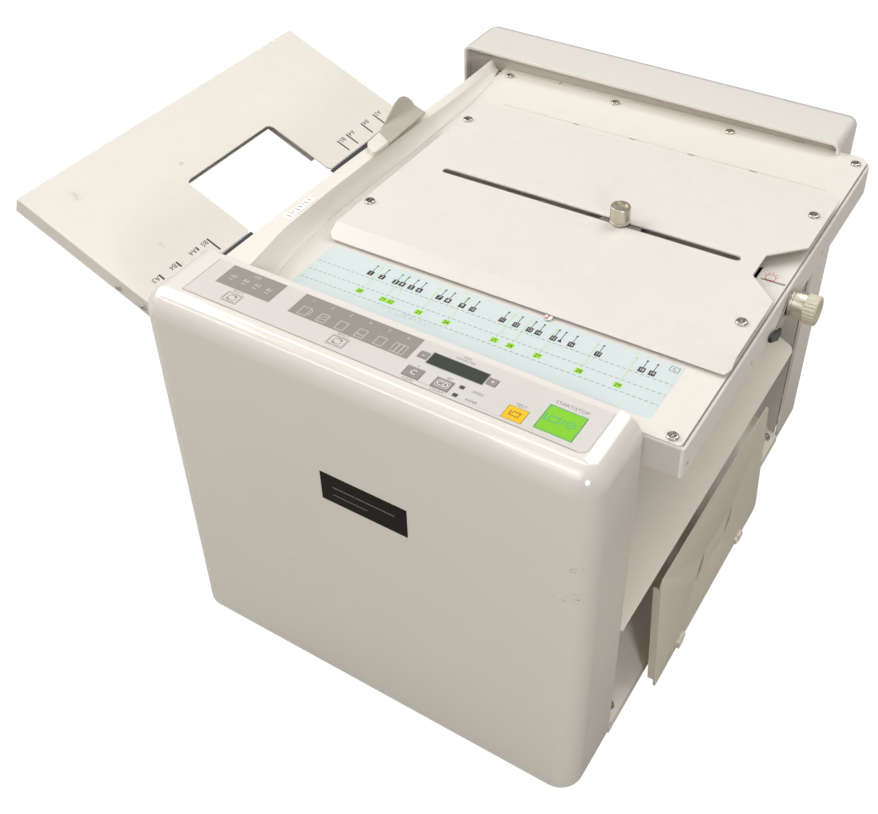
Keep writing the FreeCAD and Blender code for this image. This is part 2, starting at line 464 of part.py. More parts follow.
tray_screws = tray(group(*[screw_y(u, TR_Y0, h, -1) for u, h in TSU], *[screw_y(u, TR_Y1, h, 1) for u, h in TSU]))
arms = []
for ya, yb, yf0, yf1 in ((69.9, 71.9, 65.8, 71.9), (416.1, 418.1, 416.1, 422.2)):
    a = prism_xz([(-112, tray_z(-112, -1.4)), (-62, tray_z(-62, -1.4)), (-34, tray_z(-34, -1.4)), (-24, 245), (2, 246), (28, 232), (28, 190), (-60, 219.5), (-77, 226.4), (-100.8, 236.4), (-112, 241.2)], ya, yb)
    a = cut(a, cyl_y(FEED_X, FEED_Z, 6.0, ya - 1, yb + 1), *[tray(cyl(u, ya - 2, h, 1.6, 8, (0, 1, 0))) for u, h in TSU])
    arms.append(fuse(a, box(6, 26, yf0, yf1, 193, 228)))
N["tray_arms"] = group(*arms)
ext = fuse(box(-122.0, -58, 164.0, 324.0, -15.5, -14.3), box(-60, -6, 164.0, 179.0, -15.5, -14.3), box(-60, -6, 309.0, 324.0, -15.5, -14.3))
ext = fuse(ext, prism_xy([(-122, 164.0), (-128, 174), (-131.5, 198), (-132.5, 244), (-131.5, 290), (-128, 314), (-122, 324.0)], -15.5, -14.3))
N["tray_extension"] = tray(ext)

# ---------------------------------------------------------------- feed unit
fl = box(TR_U1 + 0.8, 78, 73.2, 410.5, -1.2, 0)
fl = fl.cut(vert_edges(box(0, 58, 187.5, 300.5, -5, 5), 6.0, [(58, 187.5), (58, 300.5)]))
GS = ((50.0, 53.6),)
fl = cut(fl, box(50.0, 53.6, 78.0, 160.0, -3, 1), box(50.0, 53.6, 328.0, 410.0 - 1.5, -3, 1))
pad = box(62, 77, 226, 262, 0, 1.0)
fs = fuse(cyl_y(FEED_X, FEED_Z, SH, 67.0, 421.6), cyl_y(FEED_X, FEED_Z, 6.0, 196, 292), cyl_y(FEED_X, FEED_Z, 8.0, 418.6, 421.4))
N["feed_shaft"] = fs
N["feed_roller"] = group(*[fil(cut(cyl_y(FEED_X, FEED_Z, FEED_R, a, b), cyl_y(FEED_X, FEED_Z, 6.0, a - 1, b + 1)), 0.8,
                               lambda e: len(e.Vertexes) == 1 and e.Curve.Radius > 10) for a, b in ((202, 236), (252, 286))])
def band(pts, t, y0, y1):
    """bent sheet through the points, thickness t to its right-hand side"""
    n = len(pts)
    off = []
    for i in range(n):
        a = pts[max(i - 1, 0)]
        b = pts[min(i + 1, n - 1)]
        dx, dz = b[0] - a[0], b[1] - a[1]
        l = math.hypot(dx, dz)
        off.append((pts[i][0] + t * dz / l, pts[i][1] - t * dx / l))
    return prism_xz(pts + list(reversed(off)), y0, y1)
eg_lower = band([(-8.5, 210.6), (-4, 208.6), (1, 208.6), (5, 212), (8, 220), (11, 234), (14.5, 252), (17.2, 268), (18.8, 281)], 1.2, 76, 410)
eg_upper = band([(4.0, 225.5), (4.2, 236), (6.6, 252), (9.2, 268), (11.6, 284)], 1.2, 76, 410)
N["entry_guides"] = group(eg_lower, eg_upper)
# side guides on the floor, with racks and a pinion under it
def guide(y_face, sg):
    a = box(19.0, 69.0, min(y_face, y_face - sg * 1.0), max(y_face, y_face - sg * 1.0), 0.8, 30)
    a = tray(a).common(prism_xz([(TRX + 17, 200), (-18.5, 200), (-18.5, 253.0), (-34, 256.0), (-62.5, 237.2), (TRX + 17, 235.8)], 0, 500))
    foot = tray(box(19.5, 66.0, min(y_face, y_face - sg * 12.0), max(y_face, y_face - sg * 12.0), 0.8, 1.8))
    stem = tray(box(50.5, 53.1, min(y_face - sg * 2.0, y_face - sg * 10.0), max(y_face - sg * 2.0, y_face - sg * 10.0), -6.0, 1.2))
    return fuse(a, foot, stem)
YGF, YGR = YC - 148.5, YC + 148.5
MOD = 1.0
PN = 12
PRAD = MOD * PN / 2
PU = 67.0
def rack(side, y_from, y_to, y_tooth):
    """rack along Y with teeth facing the pinion; side -1 = at smaller u"""
    u_p = PU + side * PRAD
    back = u_p + side * 3.2
    pitch = math.pi * MOD
    pts = [(back, y_from)]
    k0 = math.ceil((y_from - y_tooth) / pitch + 0.5)
    k1 = math.floor((y_to - y_tooth) / pitch - 0.5)
    root = u_p + side * 1.25
    tipu = u_p - side * 0.8
    pts.append((root, y_from))
    for k in range(k0, k1 + 1):
        c = y_tooth + k * pitch
        pts += [(root, c - 0.95), (tipu, c - 0.35), (tipu, c + 0.35), (root, c + 0.95)]
    pts += [(root, y_to), (back, y_to)]
    s = prism_xy(pts, -5.8, -2.6)
    return s
rf = fuse(rack(-1, 86.0, 262.0, YC + 0.0), box(50.2, 59.0, 84.0, 96.0, -5.8, -2.6))
rr = fuse(rack(1, 226.0, 402.0, YC + 0.0), box(74.5, 79.0, 392.0, 404.0, -5.8, -2.6), box(50.2, 79.0, 392.0, 404.0, -5.8, -2.6))
N["front_paper_guide"] = fuse(guide(YGF, 1), tray(rf))
N["rear_paper_guide"] = fuse(guide(YGR, -1), tray(rr))
def pinion():
    pts = []
    p = 2 * math.pi / PN
    for i in range(PN):
        a = i * p + p / 2          # spaces face the racks' middle teeth
        for da, r in ((-0.30 * p, PRAD - 1.25), (-0.11 * p, PRAD + 0.8), (0.11 * p, PRAD + 0.8), (0.30 * p, PRAD - 1.25)):
            pts.append((PU + r * math.cos(a + da), YC + r * math.sin(a + da)))
    return prism_xy(pts, -5.8, -2.6).cut(cyl(PU, YC, -7, 1.5 + RUN, 10))
N["guide_pinion"] = tray(pinion())
pin = fuse(cyl(PU, YC, -7.2, 1.5, 6.0), cyl(PU, YC, -7.4, 2.6, 1.2))
N["feed_floor"] = tray(group(fuse(fl, pin), pad))

# ---------------------------------------------------------------- fold rollers, gears, bushes
FPR = 8.0
for i, (x, z) in AX.items():
    body = cyl_y(x, z, RR, 74.0, 410.0)
    body = fil(body, 1.0, lambda e: len(e.Vertexes) == 1)
    sh = [cyl_y(x, z, SH, 63.0, 456.5 if i == 2 else 445.0)]
    if i == 4:
        sh.append(cyl_y(x, z, FPR, 416.4, 420.4))
    N["fold_roller_%d" % i] = fuse(body, *sh)
GY0, GY1 = 435.0, 443.0
gears = {1: 9.0, 2: 0.0, 3: 9.0, 4: 9.0}
for i, (x, z) in AX.items():
    g = gear(x, z, 20, NIP / 2, GY0, GY1, SH, gears[i])
    if i == 2:
        g = fuse(g, cut(fuse(cyl_y(x, z, 9.0, 443.0, 446.0), cyl_y(x, z, 18.0, 447.0, 455.0), cyl_y(x, z, 19.6, 446.0, 447.0),
                             cyl_y(x, z, 19.6, 455.0, 456.0)), cyl_y(x, z, SH, 430, 466)))
    N["roller_gear_%d" % i] = g
bush = []
def bushing(x, z, y0, y1, yf0, yf1, ro=7.0, fr=8.5):
    return cut(fuse(cyl_y(x, z, ro, y0, y1), cyl_y(x, z, fr, yf0, yf1)), cyl_y(x, z, SH + RUN, y0 - 3, y1 + 3))
for i, (x, z) in AX.items():
    bush.append(bushing(x, z, 62.8, 67.0, 65.8, 67.0))
    bush.append(bushing(x, z, 421.0, 425.2, 421.0, 422.2))
bush.append(bushing(FEED_X, FEED_Z, 69.9, 73.0, 71.9, 73.0, 6.0, 7.5))
bush.append(bushing(FEED_X, FEED_Z, 415.0, 418.1, 415.0, 416.1, 6.0, 7.5))
N["roller_bushes"] = group(*bush)
# drive: flat motor behind the rear frame, toothed belt to roller 2; second belt from roller 4 to the feed roller
MX, MZ = 150.0, 196.0
PR1, PR2, PRF = 18.0, 9.0, 8.0
N["motor_pulley"] = fuse(cyl_y(MX, MZ, PR2, 447.0, 455.0), cyl_y(MX, MZ, PR2 + 1.6, 446.0, 447.0), cyl_y(MX, MZ, PR2 + 1.6, 455.0, 456.0),
                         cyl_y(MX, MZ, 3.0, 445.0, 463.0))
mot = fuse(cyl_y(MX, MZ, 33.0, 459.2, 484.2), cyl_y(MX, MZ, 8.0, 458.4, 459.2))
mot = cut(mot, cyl_y(MX, MZ, 3.0 + RUN, 456, 464))
br = cut(box(MX - 48, MX + 42, 457.4, 459.2, MZ - 42, MZ + 42), cyl_y(MX, MZ, 8.0, 446, 466))
sp = [cyl_y(MX + a, MZ + b, 4.0, 425.2, 457.4) for a, b in ((-36, -36), (36, -36), (-42, 30), (36, 36))]
N["drive_motor"] = group(mot.cut(br), fuse(br, *sp))


def loop(x1, z1, r1, x2, z2, r2, off, y0, y1):
    a, b = r1 + off, r2 + off
    d = math.hypot(x2 - x1, z2 - z1)
    th = math.atan2(z2 - z1, x2 - x1)
    g = math.acos((a - b) / d)
    pts = []
    for s in (1, -1):
        pts.append(((x1 + a * math.cos(th + s * g), z1 + a * math.sin(th + s * g)), (x2 + b * math.cos(th + s * g), z2 + b * math.sin(th + s * g))))
    q = prism_xz([pts[0][0], pts[0][1], pts[1][1], pts[1][0]], y0, y1)
    return fuse(q, cyl_y(x1, z1, a, y0, y1), cyl_y(x2, z2, b, y0, y1))


main_belt = cut(loop(NX, NZ, PR1, MX, MZ, PR2, 2.0, 447.6, 454.4), loop(NX, NZ, PR1, MX, MZ, PR2, 0.35, 447.0, 455.0))
fx, fz = AX[4]
feed_belt = cut(loop(FEED_X, FEED_Z, FPR, fx, fz, FPR, 1.8, 418.7, 420.2), loop(FEED_X, FEED_Z, FPR, fx, fz, FPR, 0.35, 418.0, 421.0))
N["drive_belts"] = group(main_belt, feed_belt)

# ---------------------------------------------------------------- second fold plate
up = box(17, P2_LEN, 66.4, 411.0, 3.3, 4.5)
up = vert_edges(up, 7.0, [(P2_LEN, 411.0)])
up = fuse(up, box(308.2, P2_LEN, 62.7, 67.0, 3.3, 4.5), box(17, P2_LEN - 8, 66.4, 67.6, -3.3, 4.5), box(17, P2_LEN - 8, 409.8, 411.0, -3.3, 4.5))
lo = box(0, P2_LEN - 6, 66.4, 411.0, -4.5, -3.3)
lo = cut(lo, box(118, 286, SY - 3.0, SY + 3.0, -6, 0))
for u_ in (52, 296):
    for y0, y1 in ((90, 100), (378, 388)):
        lo = fuse(lo, cut(box(u_ - 9, u_ + 9, y0, y1, -10.5, -4.4), cyl(u_, y0 - 1, -10.5, TR_, 12, (0, 1, 0))))
mouth = prism_xz([(44.5, 258.6), (44.5, 257.4), (66.2, 255.4), (67.6, 256.0), (66.6, 257.2)], 78, 406)
N["fold_plate_2"] = group(p2(up), fuse(p2(lo), mouth))
S2 = 200.0
sb = fuse(box(S2 - 2.5, S2 + 2.5, 80, 398, -2.9, 2.9), box(S2 - 10, S2 + 10, SY - 10, SY + 10, -2.9, 2.9), cyl(S2, SY, -19.0, 1.7, 18.0))
k2 = knurled(0, 0, 0, 7.3, 12.0, bore=1.6, depth=9.5)
k2.rotate(V(0, 0, 0), V(1, 0, 0), 180)
k2.translate(V(S2, SY, -8.5))
N["stopper_2"] = p2(fuse(sb, k2))

# ---------------------------------------------------------------- delivery
ln = (CHX - 37.0) / math.cos(math.radians(CH_ANG))
cs = fuse(box(-ln, 0, 66.2, 421.8, -1.2, 0), box(-ln - 22.0, -ln + 1, 78.0, 408.0, -1.2, 0))
cs = chute(cs)
lipc = prism_xz([(CHX - 1.0, CHZ - 0.9), (CHX + 0.1, CHZ - 0.3), (CHX + 0.1, -4.5), (CHX - 1.0, -4.5)], 62.8, 425.2)
lipc = cut(lipc, box(340, 350, 165.4, 172.0, -6, 4.2), box(340, 350, 281.0, 287.6, -6, 4.2))
CSC = [(-8.0, 76.0), (-8.0, 410.5)]
cs = fuse(cs, lipc)
cs = cut(cs, *[chute(cyl(u, y, -4, 2.0, 8)) for u, y in CSC])
N["delivery_chute"] = cs
chute_screws = group(*[chute(screw(u, y, 0, 3.8, 2.0, 1.9, 2.6)) for u, y in CSC])
# receiving plate: stands against the outlet, folds down to the right about its foot
dp = box(-0.6, 0.6, 115.5, 334.5, -4.4, 118.5)
dp = vert_edges(dp, 7.0, [(334.5, -4.4), (334.5, 118.5), (115.5, 118.5)], d=(1, 0, 0))
dp = vert_edges(dp, 4.0, [(115.5, -4.4)], d=(1, 0, 0))


def crescent(y0, z0, y1, z1, s_out, s_in):
    """slit between two arcs through the same ends, bulging to the +Y -Z side"""
    a, b = V(-3, y0, z0), V(-3, y1, z1)
    m = a.add(b).multiply(0.5)
    d = b.sub(a)
    d.normalize()
    n = V(0, -d.z, d.y)
    if n.y < 0:
        n = n.multiply(-1)
    e1 = Part.Arc(a, m.add(V(n.x * s_out, n.y * s_out, n.z * s_out)), b).toShape()
    e2 = Part.Arc(b, m.add(V(n.x * s_in, n.y * s_in, n.z * s_in)), a).toShape()
    return Part.Face(Part.Wire([e1, e2])).extrude(V(6, 0, 0))


dp = fuse(dp, box(-5.4, -0.5, 115.5, 116.7, 5.0, 111.0))   # front edge bent inwards
dp = cut(dp, crescent(204, 64, 185.5, 41.5, 9.0, 0.3), crescent(262.5, 62, 244.5, 39.5, 9.0, 0.3))
ears = [cut(fuse(cyl_y(0, 0, 3.6, a, b), box(-0.6, 3.0, a, b, -3.6, 3.6)), cyl_y(0, 0, 1.5 + RUN, a - 1, b + 1)) for a, b in ((158, 166), (287, 295))]
dp = fuse(dp.cut(group(box(-2, 2, 158, 166, -5, 3.8), box(-2, 2, 287, 295, -5, 3.8))), *ears)
dp = cut(dp, *[cyl_y(0, 0, 1.5 + RUN, a, b) for a, b in ((154, 170), (283, 299))])
dp = cut(dp, box(-3, 3, 166, 171.5, -6, 4.2), box(-3, 3, 281.5, 287, -6, 4.2))


def dpl(s):
    s = s.copy()
    s.rotate(V(0, 0, 0), V(0, 1, 0), -DP_LEAN)
    s.translate(V(DPX, 0, DPZ))
    return s


N["receiving_plate"] = dpl(dp)
hb = []
hpins = [cyl_y(DPX, DPZ, 1.5, a, b) for a, b in ((156.5, 171), (282, 296.5))]
for a, b in ((166.4, 171.0), (282.0, 286.6)):
    blk = fuse(cyl_y(DPX, DPZ, 3.2, a, b), box(330, DPX, a, b, DPZ - 3.2, 0.3), box(330, 339, a, b, 0.0, 0.3))
    hb.append(fuse(blk, hpins[len(hb)]))
N["receiving_plate_hinges"] = group(*hb)

# power board in the rear cover
pb = fuse(box(215, 330, 470, 471.6, 120, 240), box(225, 262, 446, 470, 130, 172), box(275, 300, 452, 470, 180, 225), cyl_y(315, 150, 9, 450, 470),
          *[cyl_y(x, z, 3, 425.2, 470) for x, z in ((220, 125), (325, 125), (220, 235), (325, 235))])
N["circuit_boards"] = group(fuse(control_board, lcd), pb)
N["screws_and_spacers"] = group(*(cp_screws.Solids + t_screws.Solids + tray_screws.Solids + chute_screws.Solids + spacers.Solids))

# ---------------------------------------------------------------- write
if __name__ == "__main__":
    os.makedirs("parts", exist_ok=True)
    for f in os.listdir("parts"):
        if f.endswith(".step"):
            os.remove(os.path.join("parts", f))
    bb = FreeCAD.BoundBox()
    for s in N.values():
        bb.add(s.optimalBoundingBox() if hasattr(s, "optimalBoundingBox") else s.BoundBox)
    ox, oy, oz = (bb.XMin + bb.XMax) / 2, (bb.YMin + bb.YMax) / 2, bb.ZMin
    print("shift", round(ox, 4), round(oy, 4), round(oz, 4), "size", round(bb.XLength, 2), round(bb.YLength, 2), round(bb.ZLength, 2))
    for k, s in N.items():
        s = s.copy()
        s.translate(V(-ox, -oy, -oz))
        bad = [x for x in s.Solids if not x.isValid() or x.Volume <= 0]
        if bad or not s.Solids:
            print("BAD", k, len(s.Solids), len(bad))
        s.exportStep(os.path.join("parts", k + ".step"))
    print(len(N), "nodes")
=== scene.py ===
import bpy, bmesh, math, json
from mathutils import Vector, Matrix


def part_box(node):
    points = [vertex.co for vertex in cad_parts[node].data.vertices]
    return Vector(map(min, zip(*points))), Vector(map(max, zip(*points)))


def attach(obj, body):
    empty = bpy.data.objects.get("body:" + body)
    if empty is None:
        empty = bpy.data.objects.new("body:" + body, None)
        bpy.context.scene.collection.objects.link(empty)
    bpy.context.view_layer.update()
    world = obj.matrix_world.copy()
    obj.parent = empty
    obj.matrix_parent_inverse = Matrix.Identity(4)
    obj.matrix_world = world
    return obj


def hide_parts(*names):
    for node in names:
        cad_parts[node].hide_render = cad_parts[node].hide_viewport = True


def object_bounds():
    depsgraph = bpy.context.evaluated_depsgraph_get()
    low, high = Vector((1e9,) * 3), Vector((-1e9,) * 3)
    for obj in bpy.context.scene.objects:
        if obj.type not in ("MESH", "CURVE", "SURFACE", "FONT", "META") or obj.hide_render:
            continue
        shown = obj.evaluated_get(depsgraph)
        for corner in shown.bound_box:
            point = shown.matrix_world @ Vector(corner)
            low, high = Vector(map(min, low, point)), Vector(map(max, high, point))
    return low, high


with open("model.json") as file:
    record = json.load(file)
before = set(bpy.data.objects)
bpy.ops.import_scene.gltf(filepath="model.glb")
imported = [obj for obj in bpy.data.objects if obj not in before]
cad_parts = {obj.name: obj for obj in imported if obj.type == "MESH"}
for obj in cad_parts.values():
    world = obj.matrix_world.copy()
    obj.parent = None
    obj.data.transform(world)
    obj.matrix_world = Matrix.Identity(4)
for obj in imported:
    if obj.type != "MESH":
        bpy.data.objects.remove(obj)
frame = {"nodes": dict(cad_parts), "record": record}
CAD_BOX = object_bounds()
NODES = frame["nodes"]
BODIES = frame["record"]["behaviour"]["bodies"]
NODE_BODY = {n: b for b, ns in BODIES.items() for n in ns}
ROOT = NODE_BODY["front_cover"]
scene = bpy.context.scene

# machine coordinates (mm): x right from the front cover's left face, y back, z up from its lower edge
S0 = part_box("front_cover")[0]


def P(x, y, z):
    return S0 + Vector((x, y, z)) / 1000.0


class Plane:
    """a flat working frame on the object: a, b along it and h above it, in mm"""

    def __init__(self, o, ex, ey, ez):
        self.o, self.ex, self.ey, self.ez = o, Vector(ex), Vector(ey), Vector(ez)

    def at(self, a, b, h=0.0):
        return self.o + (self.ex * a + self.ey * b + self.ez * h) / 1000.0


C1, S1 = math.cos(math.radians(1)), math.sin(math.radians(1))
CT, ST = math.cos(math.radians(22.8)), math.sin(math.radians(22.8))
TABLE = Plane(P(0, 0, 305.3), (C1, 0, S1), (0, 1, 0), (-S1, 0, C1))
TRAY = Plane(P(-83.2, 0, 242.8), (CT, 0, -ST), (0, 1, 0), (ST, 0, CT))
PANEL = Plane(P(0, 0, 324.35), (1, 0, 0), (0, 1, 0), (0, 0, 1))
KEYTOP = Plane(P(0, 0, 324.45), (1, 0, 0), (0, 1, 0), (0, 0, 1))
FRONT = Plane(P(0, -0.3, 0), (1, 0, 0), (0, 0, 1), (0, -1, 0))

# ------------------------------------------------------------------ camera
cam_data = bpy.data.cameras.new("camera")
cam = bpy.data.objects.new("camera", cam_data)
scene.collection.objects.link(cam)
F_PX, CX_PX, CY_PX = 1188.0, 454.3, 317.4
AZ, EL, ROLL = math.radians(32.5), math.radians(39.0), math.radians(-1.1)
back = Vector((math.sin(AZ) * math.cos(EL), -math.cos(AZ) * math.cos(EL), math.sin(EL)))
fwd = -back
right = fwd.cross(Vector((0, 0, 1))).normalized()
up = right.cross(fwd)
r2 = right * math.cos(ROLL) + up * math.sin(ROLL)
u2 = -right * math.sin(ROLL) + up * math.cos(ROLL)
M = Matrix((r2, u2, back)).transposed().to_4x4()
M.translation = P(521.1, -417.5, 806.8)
cam.matrix_world = M
cam_data.sensor_fit = "HORIZONTAL"
cam_data.sensor_width = 36.0
cam_data.lens = F_PX / 878.0 * 36.0
cam_data.shift_x = (439.0 - CX_PX) / 878.0
cam_data.shift_y = (CY_PX - 407.0) / 878.0
cam_data.clip_start, cam_data.clip_end = 0.02, 50
cam_data.dof.use_dof = False
scene.camera = cam

# ------------------------------------------------------------------ light and floor
scene.view_settings.view_transform = "Standard"
scene.view_settings.look = "None"
scene.view_settings.exposure = 0.0
scene.view_settings.gamma = 1.0


def node(nt, kind, **kw):
    n = nt.nodes.new(kind)
    for k, v in kw.items():
        if hasattr(n, k) and k not in ("inputs",):
            setattr(n, k, v)
    return n


world = bpy.data.worlds.new("world")
scene.world = world
world.use_nodes = True
wt = world.node_tree
wt.nodes.clear()
wo = node(wt, "ShaderNodeOutputWorld")
bg = node(wt, "ShaderNodeBackground")
bg.inputs["Strength"].default_value = 0.14
bg.inputs["Color"].default_value = (1.0, 0.985, 0.96, 1)
wt.links.new(bg.outputs[0], wo.inputs["Surface"])


def area(name, loc, target, sx_, sy_, power, color=(1, 1, 1)):
    d = bpy.data.lights.new(name, "AREA")
    d.shape = "RECTANGLE"
    d.size, d.size_y, d.energy, d.color = sx_, sy_, power, color
    o = bpy.data.objects.new(name, d)
    scene.collection.objects.link(o)
    o.location = loc
    o.rotation_mode = "QUATERNION"
    o.rotation_quaternion = (Vector(target) - Vector(loc)).to_track_quat("-Z", "Y")
    return o


area("left", (-1.7, -0.3, 1.6), (0, 0, 0.2), 1.3, 1.3, 29)
area("right_back", (0.7, 1.2, 2.1), (0, 0, 0.2), 1.4, 1.4, 24)
area("front", (0.15, -1.5, 1.9), (0, 0, 0.2), 1.5, 1.3, 10.5)
area("low_right", (1.5, -1.3, 1.0), (0.1, 0, 0.1), 0.4, 0.4, 9)
area("strip_a", (-0.95, 0.02, 2.2), (-0.95, 0, 0.3), 3.4, 0.14, 8)
area("strip_b", (-1.2, -1.7, 2.2), (-1.2, 0, 0.3), 3.4, 0.14, 8)

# ------------------------------------------------------------------ materials
MATS = {}


def principled(name):
    m = bpy.data.materials.new(name)
    m.use_nodes = True
    nt = m.node_tree
    nt.nodes.clear()
    out = node(nt, "ShaderNodeOutputMaterial")
    b = node(nt, "ShaderNodeBsdfPrincipled")
    nt.links.new(b.outputs[0], out.inputs["Surface"])
    MATS[name] = m
    return m, nt, b


def coords(nt):
    t = node(nt, "ShaderNodeTexCoord")
    return t.outputs["Object"]


def noise(nt, vec, scale, detail=3.0, rough=0.5, stretch=None):
    if stretch:
        mp = node(nt, "ShaderNodeMapping")
        mp.inputs["Scale"].default_value = stretch
        nt.links.new(vec, mp.inputs["Vector"])
        vec = mp.outputs[0]
    n = node(nt, "ShaderNodeTexNoise")
    n.inputs["Scale"].default_value = scale
    n.inputs["Detail"].default_value = detail
    n.inputs["Roughness"].default_value = rough
    nt.links.new(vec, n.inputs["Vector"])
    return n.outputs["Fac"] if "Fac" in n.outputs else n.outputs[0]


def ramp(nt, fac, lo, hi, a=0.0, b=1.0):
    r = node(nt, "ShaderNodeMapRange")
    r.inputs["From Min"].default_value, r.inputs["From Max"].default_value = lo, hi
    r.inputs["To Min"].default_value, r.inputs["To Max"].default_value = a, b
    nt.links.new(fac, r.inputs["Value"])
    return r.outputs[0]


def mix(nt, fac, c1, c2):
    x = node(nt, "ShaderNodeMix", data_type="RGBA", blend_type="MIX")
    ins = [i for i in x.inputs if i.type == "RGBA"]
    fi = x.inputs[0]
    if hasattr(fac, "is_linked") or hasattr(fac, "node"):
        nt.links.new(fac, fi)
    else:
        fi.default_value = fac
    for s, c in ((ins[0], c1), (ins[1], c2)):
        if isinstance(c, (tuple, list)):
            s.default_value = (*c[:3], 1)
        else:
            nt.links.new(c, s)
    return [o for o in x.outputs if o.type == "RGBA"][0]


def math_node(nt, op, a, b=None):
    x = node(nt, "ShaderNodeMath", operation=op)
    for i, v in enumerate((a, b)):
        if v is None:
            continue
        if isinstance(v, (int, float)):
            x.inputs[i].default_value = v
        else:
            nt.links.new(v, x.inputs[i])
    return x.outputs[0]


def bump(nt, height, strength, distance, normal=None):
    b = node(nt, "ShaderNodeBump")
    b.inputs["Strength"].default_value = strength
    b.inputs["Distance"].default_value = distance
    nt.links.new(height, b.inputs["Height"])
    if normal is not None:
        nt.links.new(normal, b.inputs["Normal"])
    return b.outputs[0]


def blob(nt, vec, centre, radii, lo=0.35, hi=1.0):
    """1 in the middle of an ellipsoid at centre, fading to 0 at its edge"""
    mp = node(nt, "ShaderNodeMapping", vector_type="POINT")
    sc = [1.0 / r for r in radii]
    mp.inputs["Scale"].default_value = sc
    mp.inputs["Location"].default_value = [-c * s for c, s in zip(centre, sc)]
    nt.links.new(vec, mp.inputs["Vector"])
    ln = node(nt, "ShaderNodeVectorMath", operation="LENGTH")
    nt.links.new(mp.outputs[0], ln.inputs[0])
    return ramp(nt, ln.outputs["Value"], hi, lo, 0.0, 1.0)


def wear(nt, col, to, lo=0.52, hi=0.60, amount=0.5):
    """edges rubbed lighter or darker"""
    g = node(nt, "ShaderNodeNewGeometry")
    f = ramp(nt, g.outputs["Pointiness"], lo, hi, 0.0, amount)
    return mix(nt, f, col, to)


def paint(name, c1, c2, rough=(0.38, 0.48), grain=1100.0, grain_h=0.00002, spec=0.5, coat=0.0, smudges_and_shade=(), big=5.0,
          specks=0.0, metallic=0.0, edge=None, coat_rough=0.1):
    m, nt, b = principled(name)
    v = coords(nt)
    col = mix(nt, ramp(nt, noise(nt, v, big, 4.0, 0.55), 0.3, 0.7), c1, c2)
    fine = noise(nt, v, 60.0, 4.0, 0.6)
    dark = tuple(x * 0.955 for x in c2)
    col = mix(nt, ramp(nt, fine, 0.52, 0.78, 0.0, 0.55), col, dark)
    if specks:
        sp = noise(nt, v, 420.0, 1.0, 0.4)
        col = mix(nt, ramp(nt, sp, 0.735, 0.77, 0.0, specks), col, (0.25, 0.22, 0.19))
    # darker blobs mixed in: dirt marks, and on the stopper cover plate also painted shade along the groove beside the
    # knob
    for centre, radii, colour, strength in smudges_and_shade:
        f = math_node(nt, "MULTIPLY", blob(nt, v, centre, radii), ramp(nt, noise(nt, v, 420.0, 4.0, 0.7), 0.42, 0.62, 0.0, strength))
        col = mix(nt, f, col, colour)
    if edge is not None:
        col = wear(nt, col, edge)
    nt.links.new(col, b.inputs["Base Color"])
    nt.links.new(ramp(nt, noise(nt, v, 38.0, 5.0, 0.6), 0.3, 0.75, rough[0], rough[1]), b.inputs["Roughness"])
    b.inputs["Specular IOR Level"].default_value = spec
    b.inputs["Metallic"].default_value = metallic
    if coat:
        b.inputs["Coat Weight"].default_value = coat
        b.inputs["Coat Roughness"].default_value = coat_rough
    nt.links.new(bump(nt, noise(nt, v, grain, 2.0, 0.5), 0.35, grain_h), b.inputs["Normal"])
    return m


def metal(name, col, rough=(0.22, 0.38), brush=None, dirt=(0.30, 0.26, 0.20), dirt_amount=0.35, metallic=1.0):
    m, nt, b = principled(name)
    v = coords(nt)
    base = mix(nt, ramp(nt, noise(nt, v, 90.0, 4.0, 0.6), 0.35, 0.7), col, tuple(x * 0.86 for x in col))
    base = mix(nt, ramp(nt, noise(nt, v, 300.0, 5.0, 0.7), 0.56, 0.72, 0.0, dirt_amount), base, dirt)
    nt.links.new(base, b.inputs["Base Color"])
    b.inputs["Metallic"].default_value = metallic
    nz = noise(nt, v, 700.0, 3.0, 0.6, brush) if brush else noise(nt, v, 500.0, 3.0, 0.6)
    nt.links.new(ramp(nt, nz, 0.3, 0.7, rough[0], rough[1]), b.inputs["Roughness"])
    nt.links.new(bump(nt, nz, 0.25, 0.00002), b.inputs["Normal"])
    return m


def ink(name, col, rough=0.5):
    m, nt, b = principled(name)
    v = coords(nt)
    c = mix(nt, ramp(nt, noise(nt, v, 900.0, 3.0, 0.6), 0.35, 0.75), col, tuple(min(1.0, x * 1.25 + 0.015) for x in col))
    nt.links.new(c, b.inputs["Base Color"])
    nt.links.new(ramp(nt, noise(nt, v, 300.0), 0.3, 0.7, rough - 0.06, rough + 0.08), b.inputs["Roughness"])
    return m


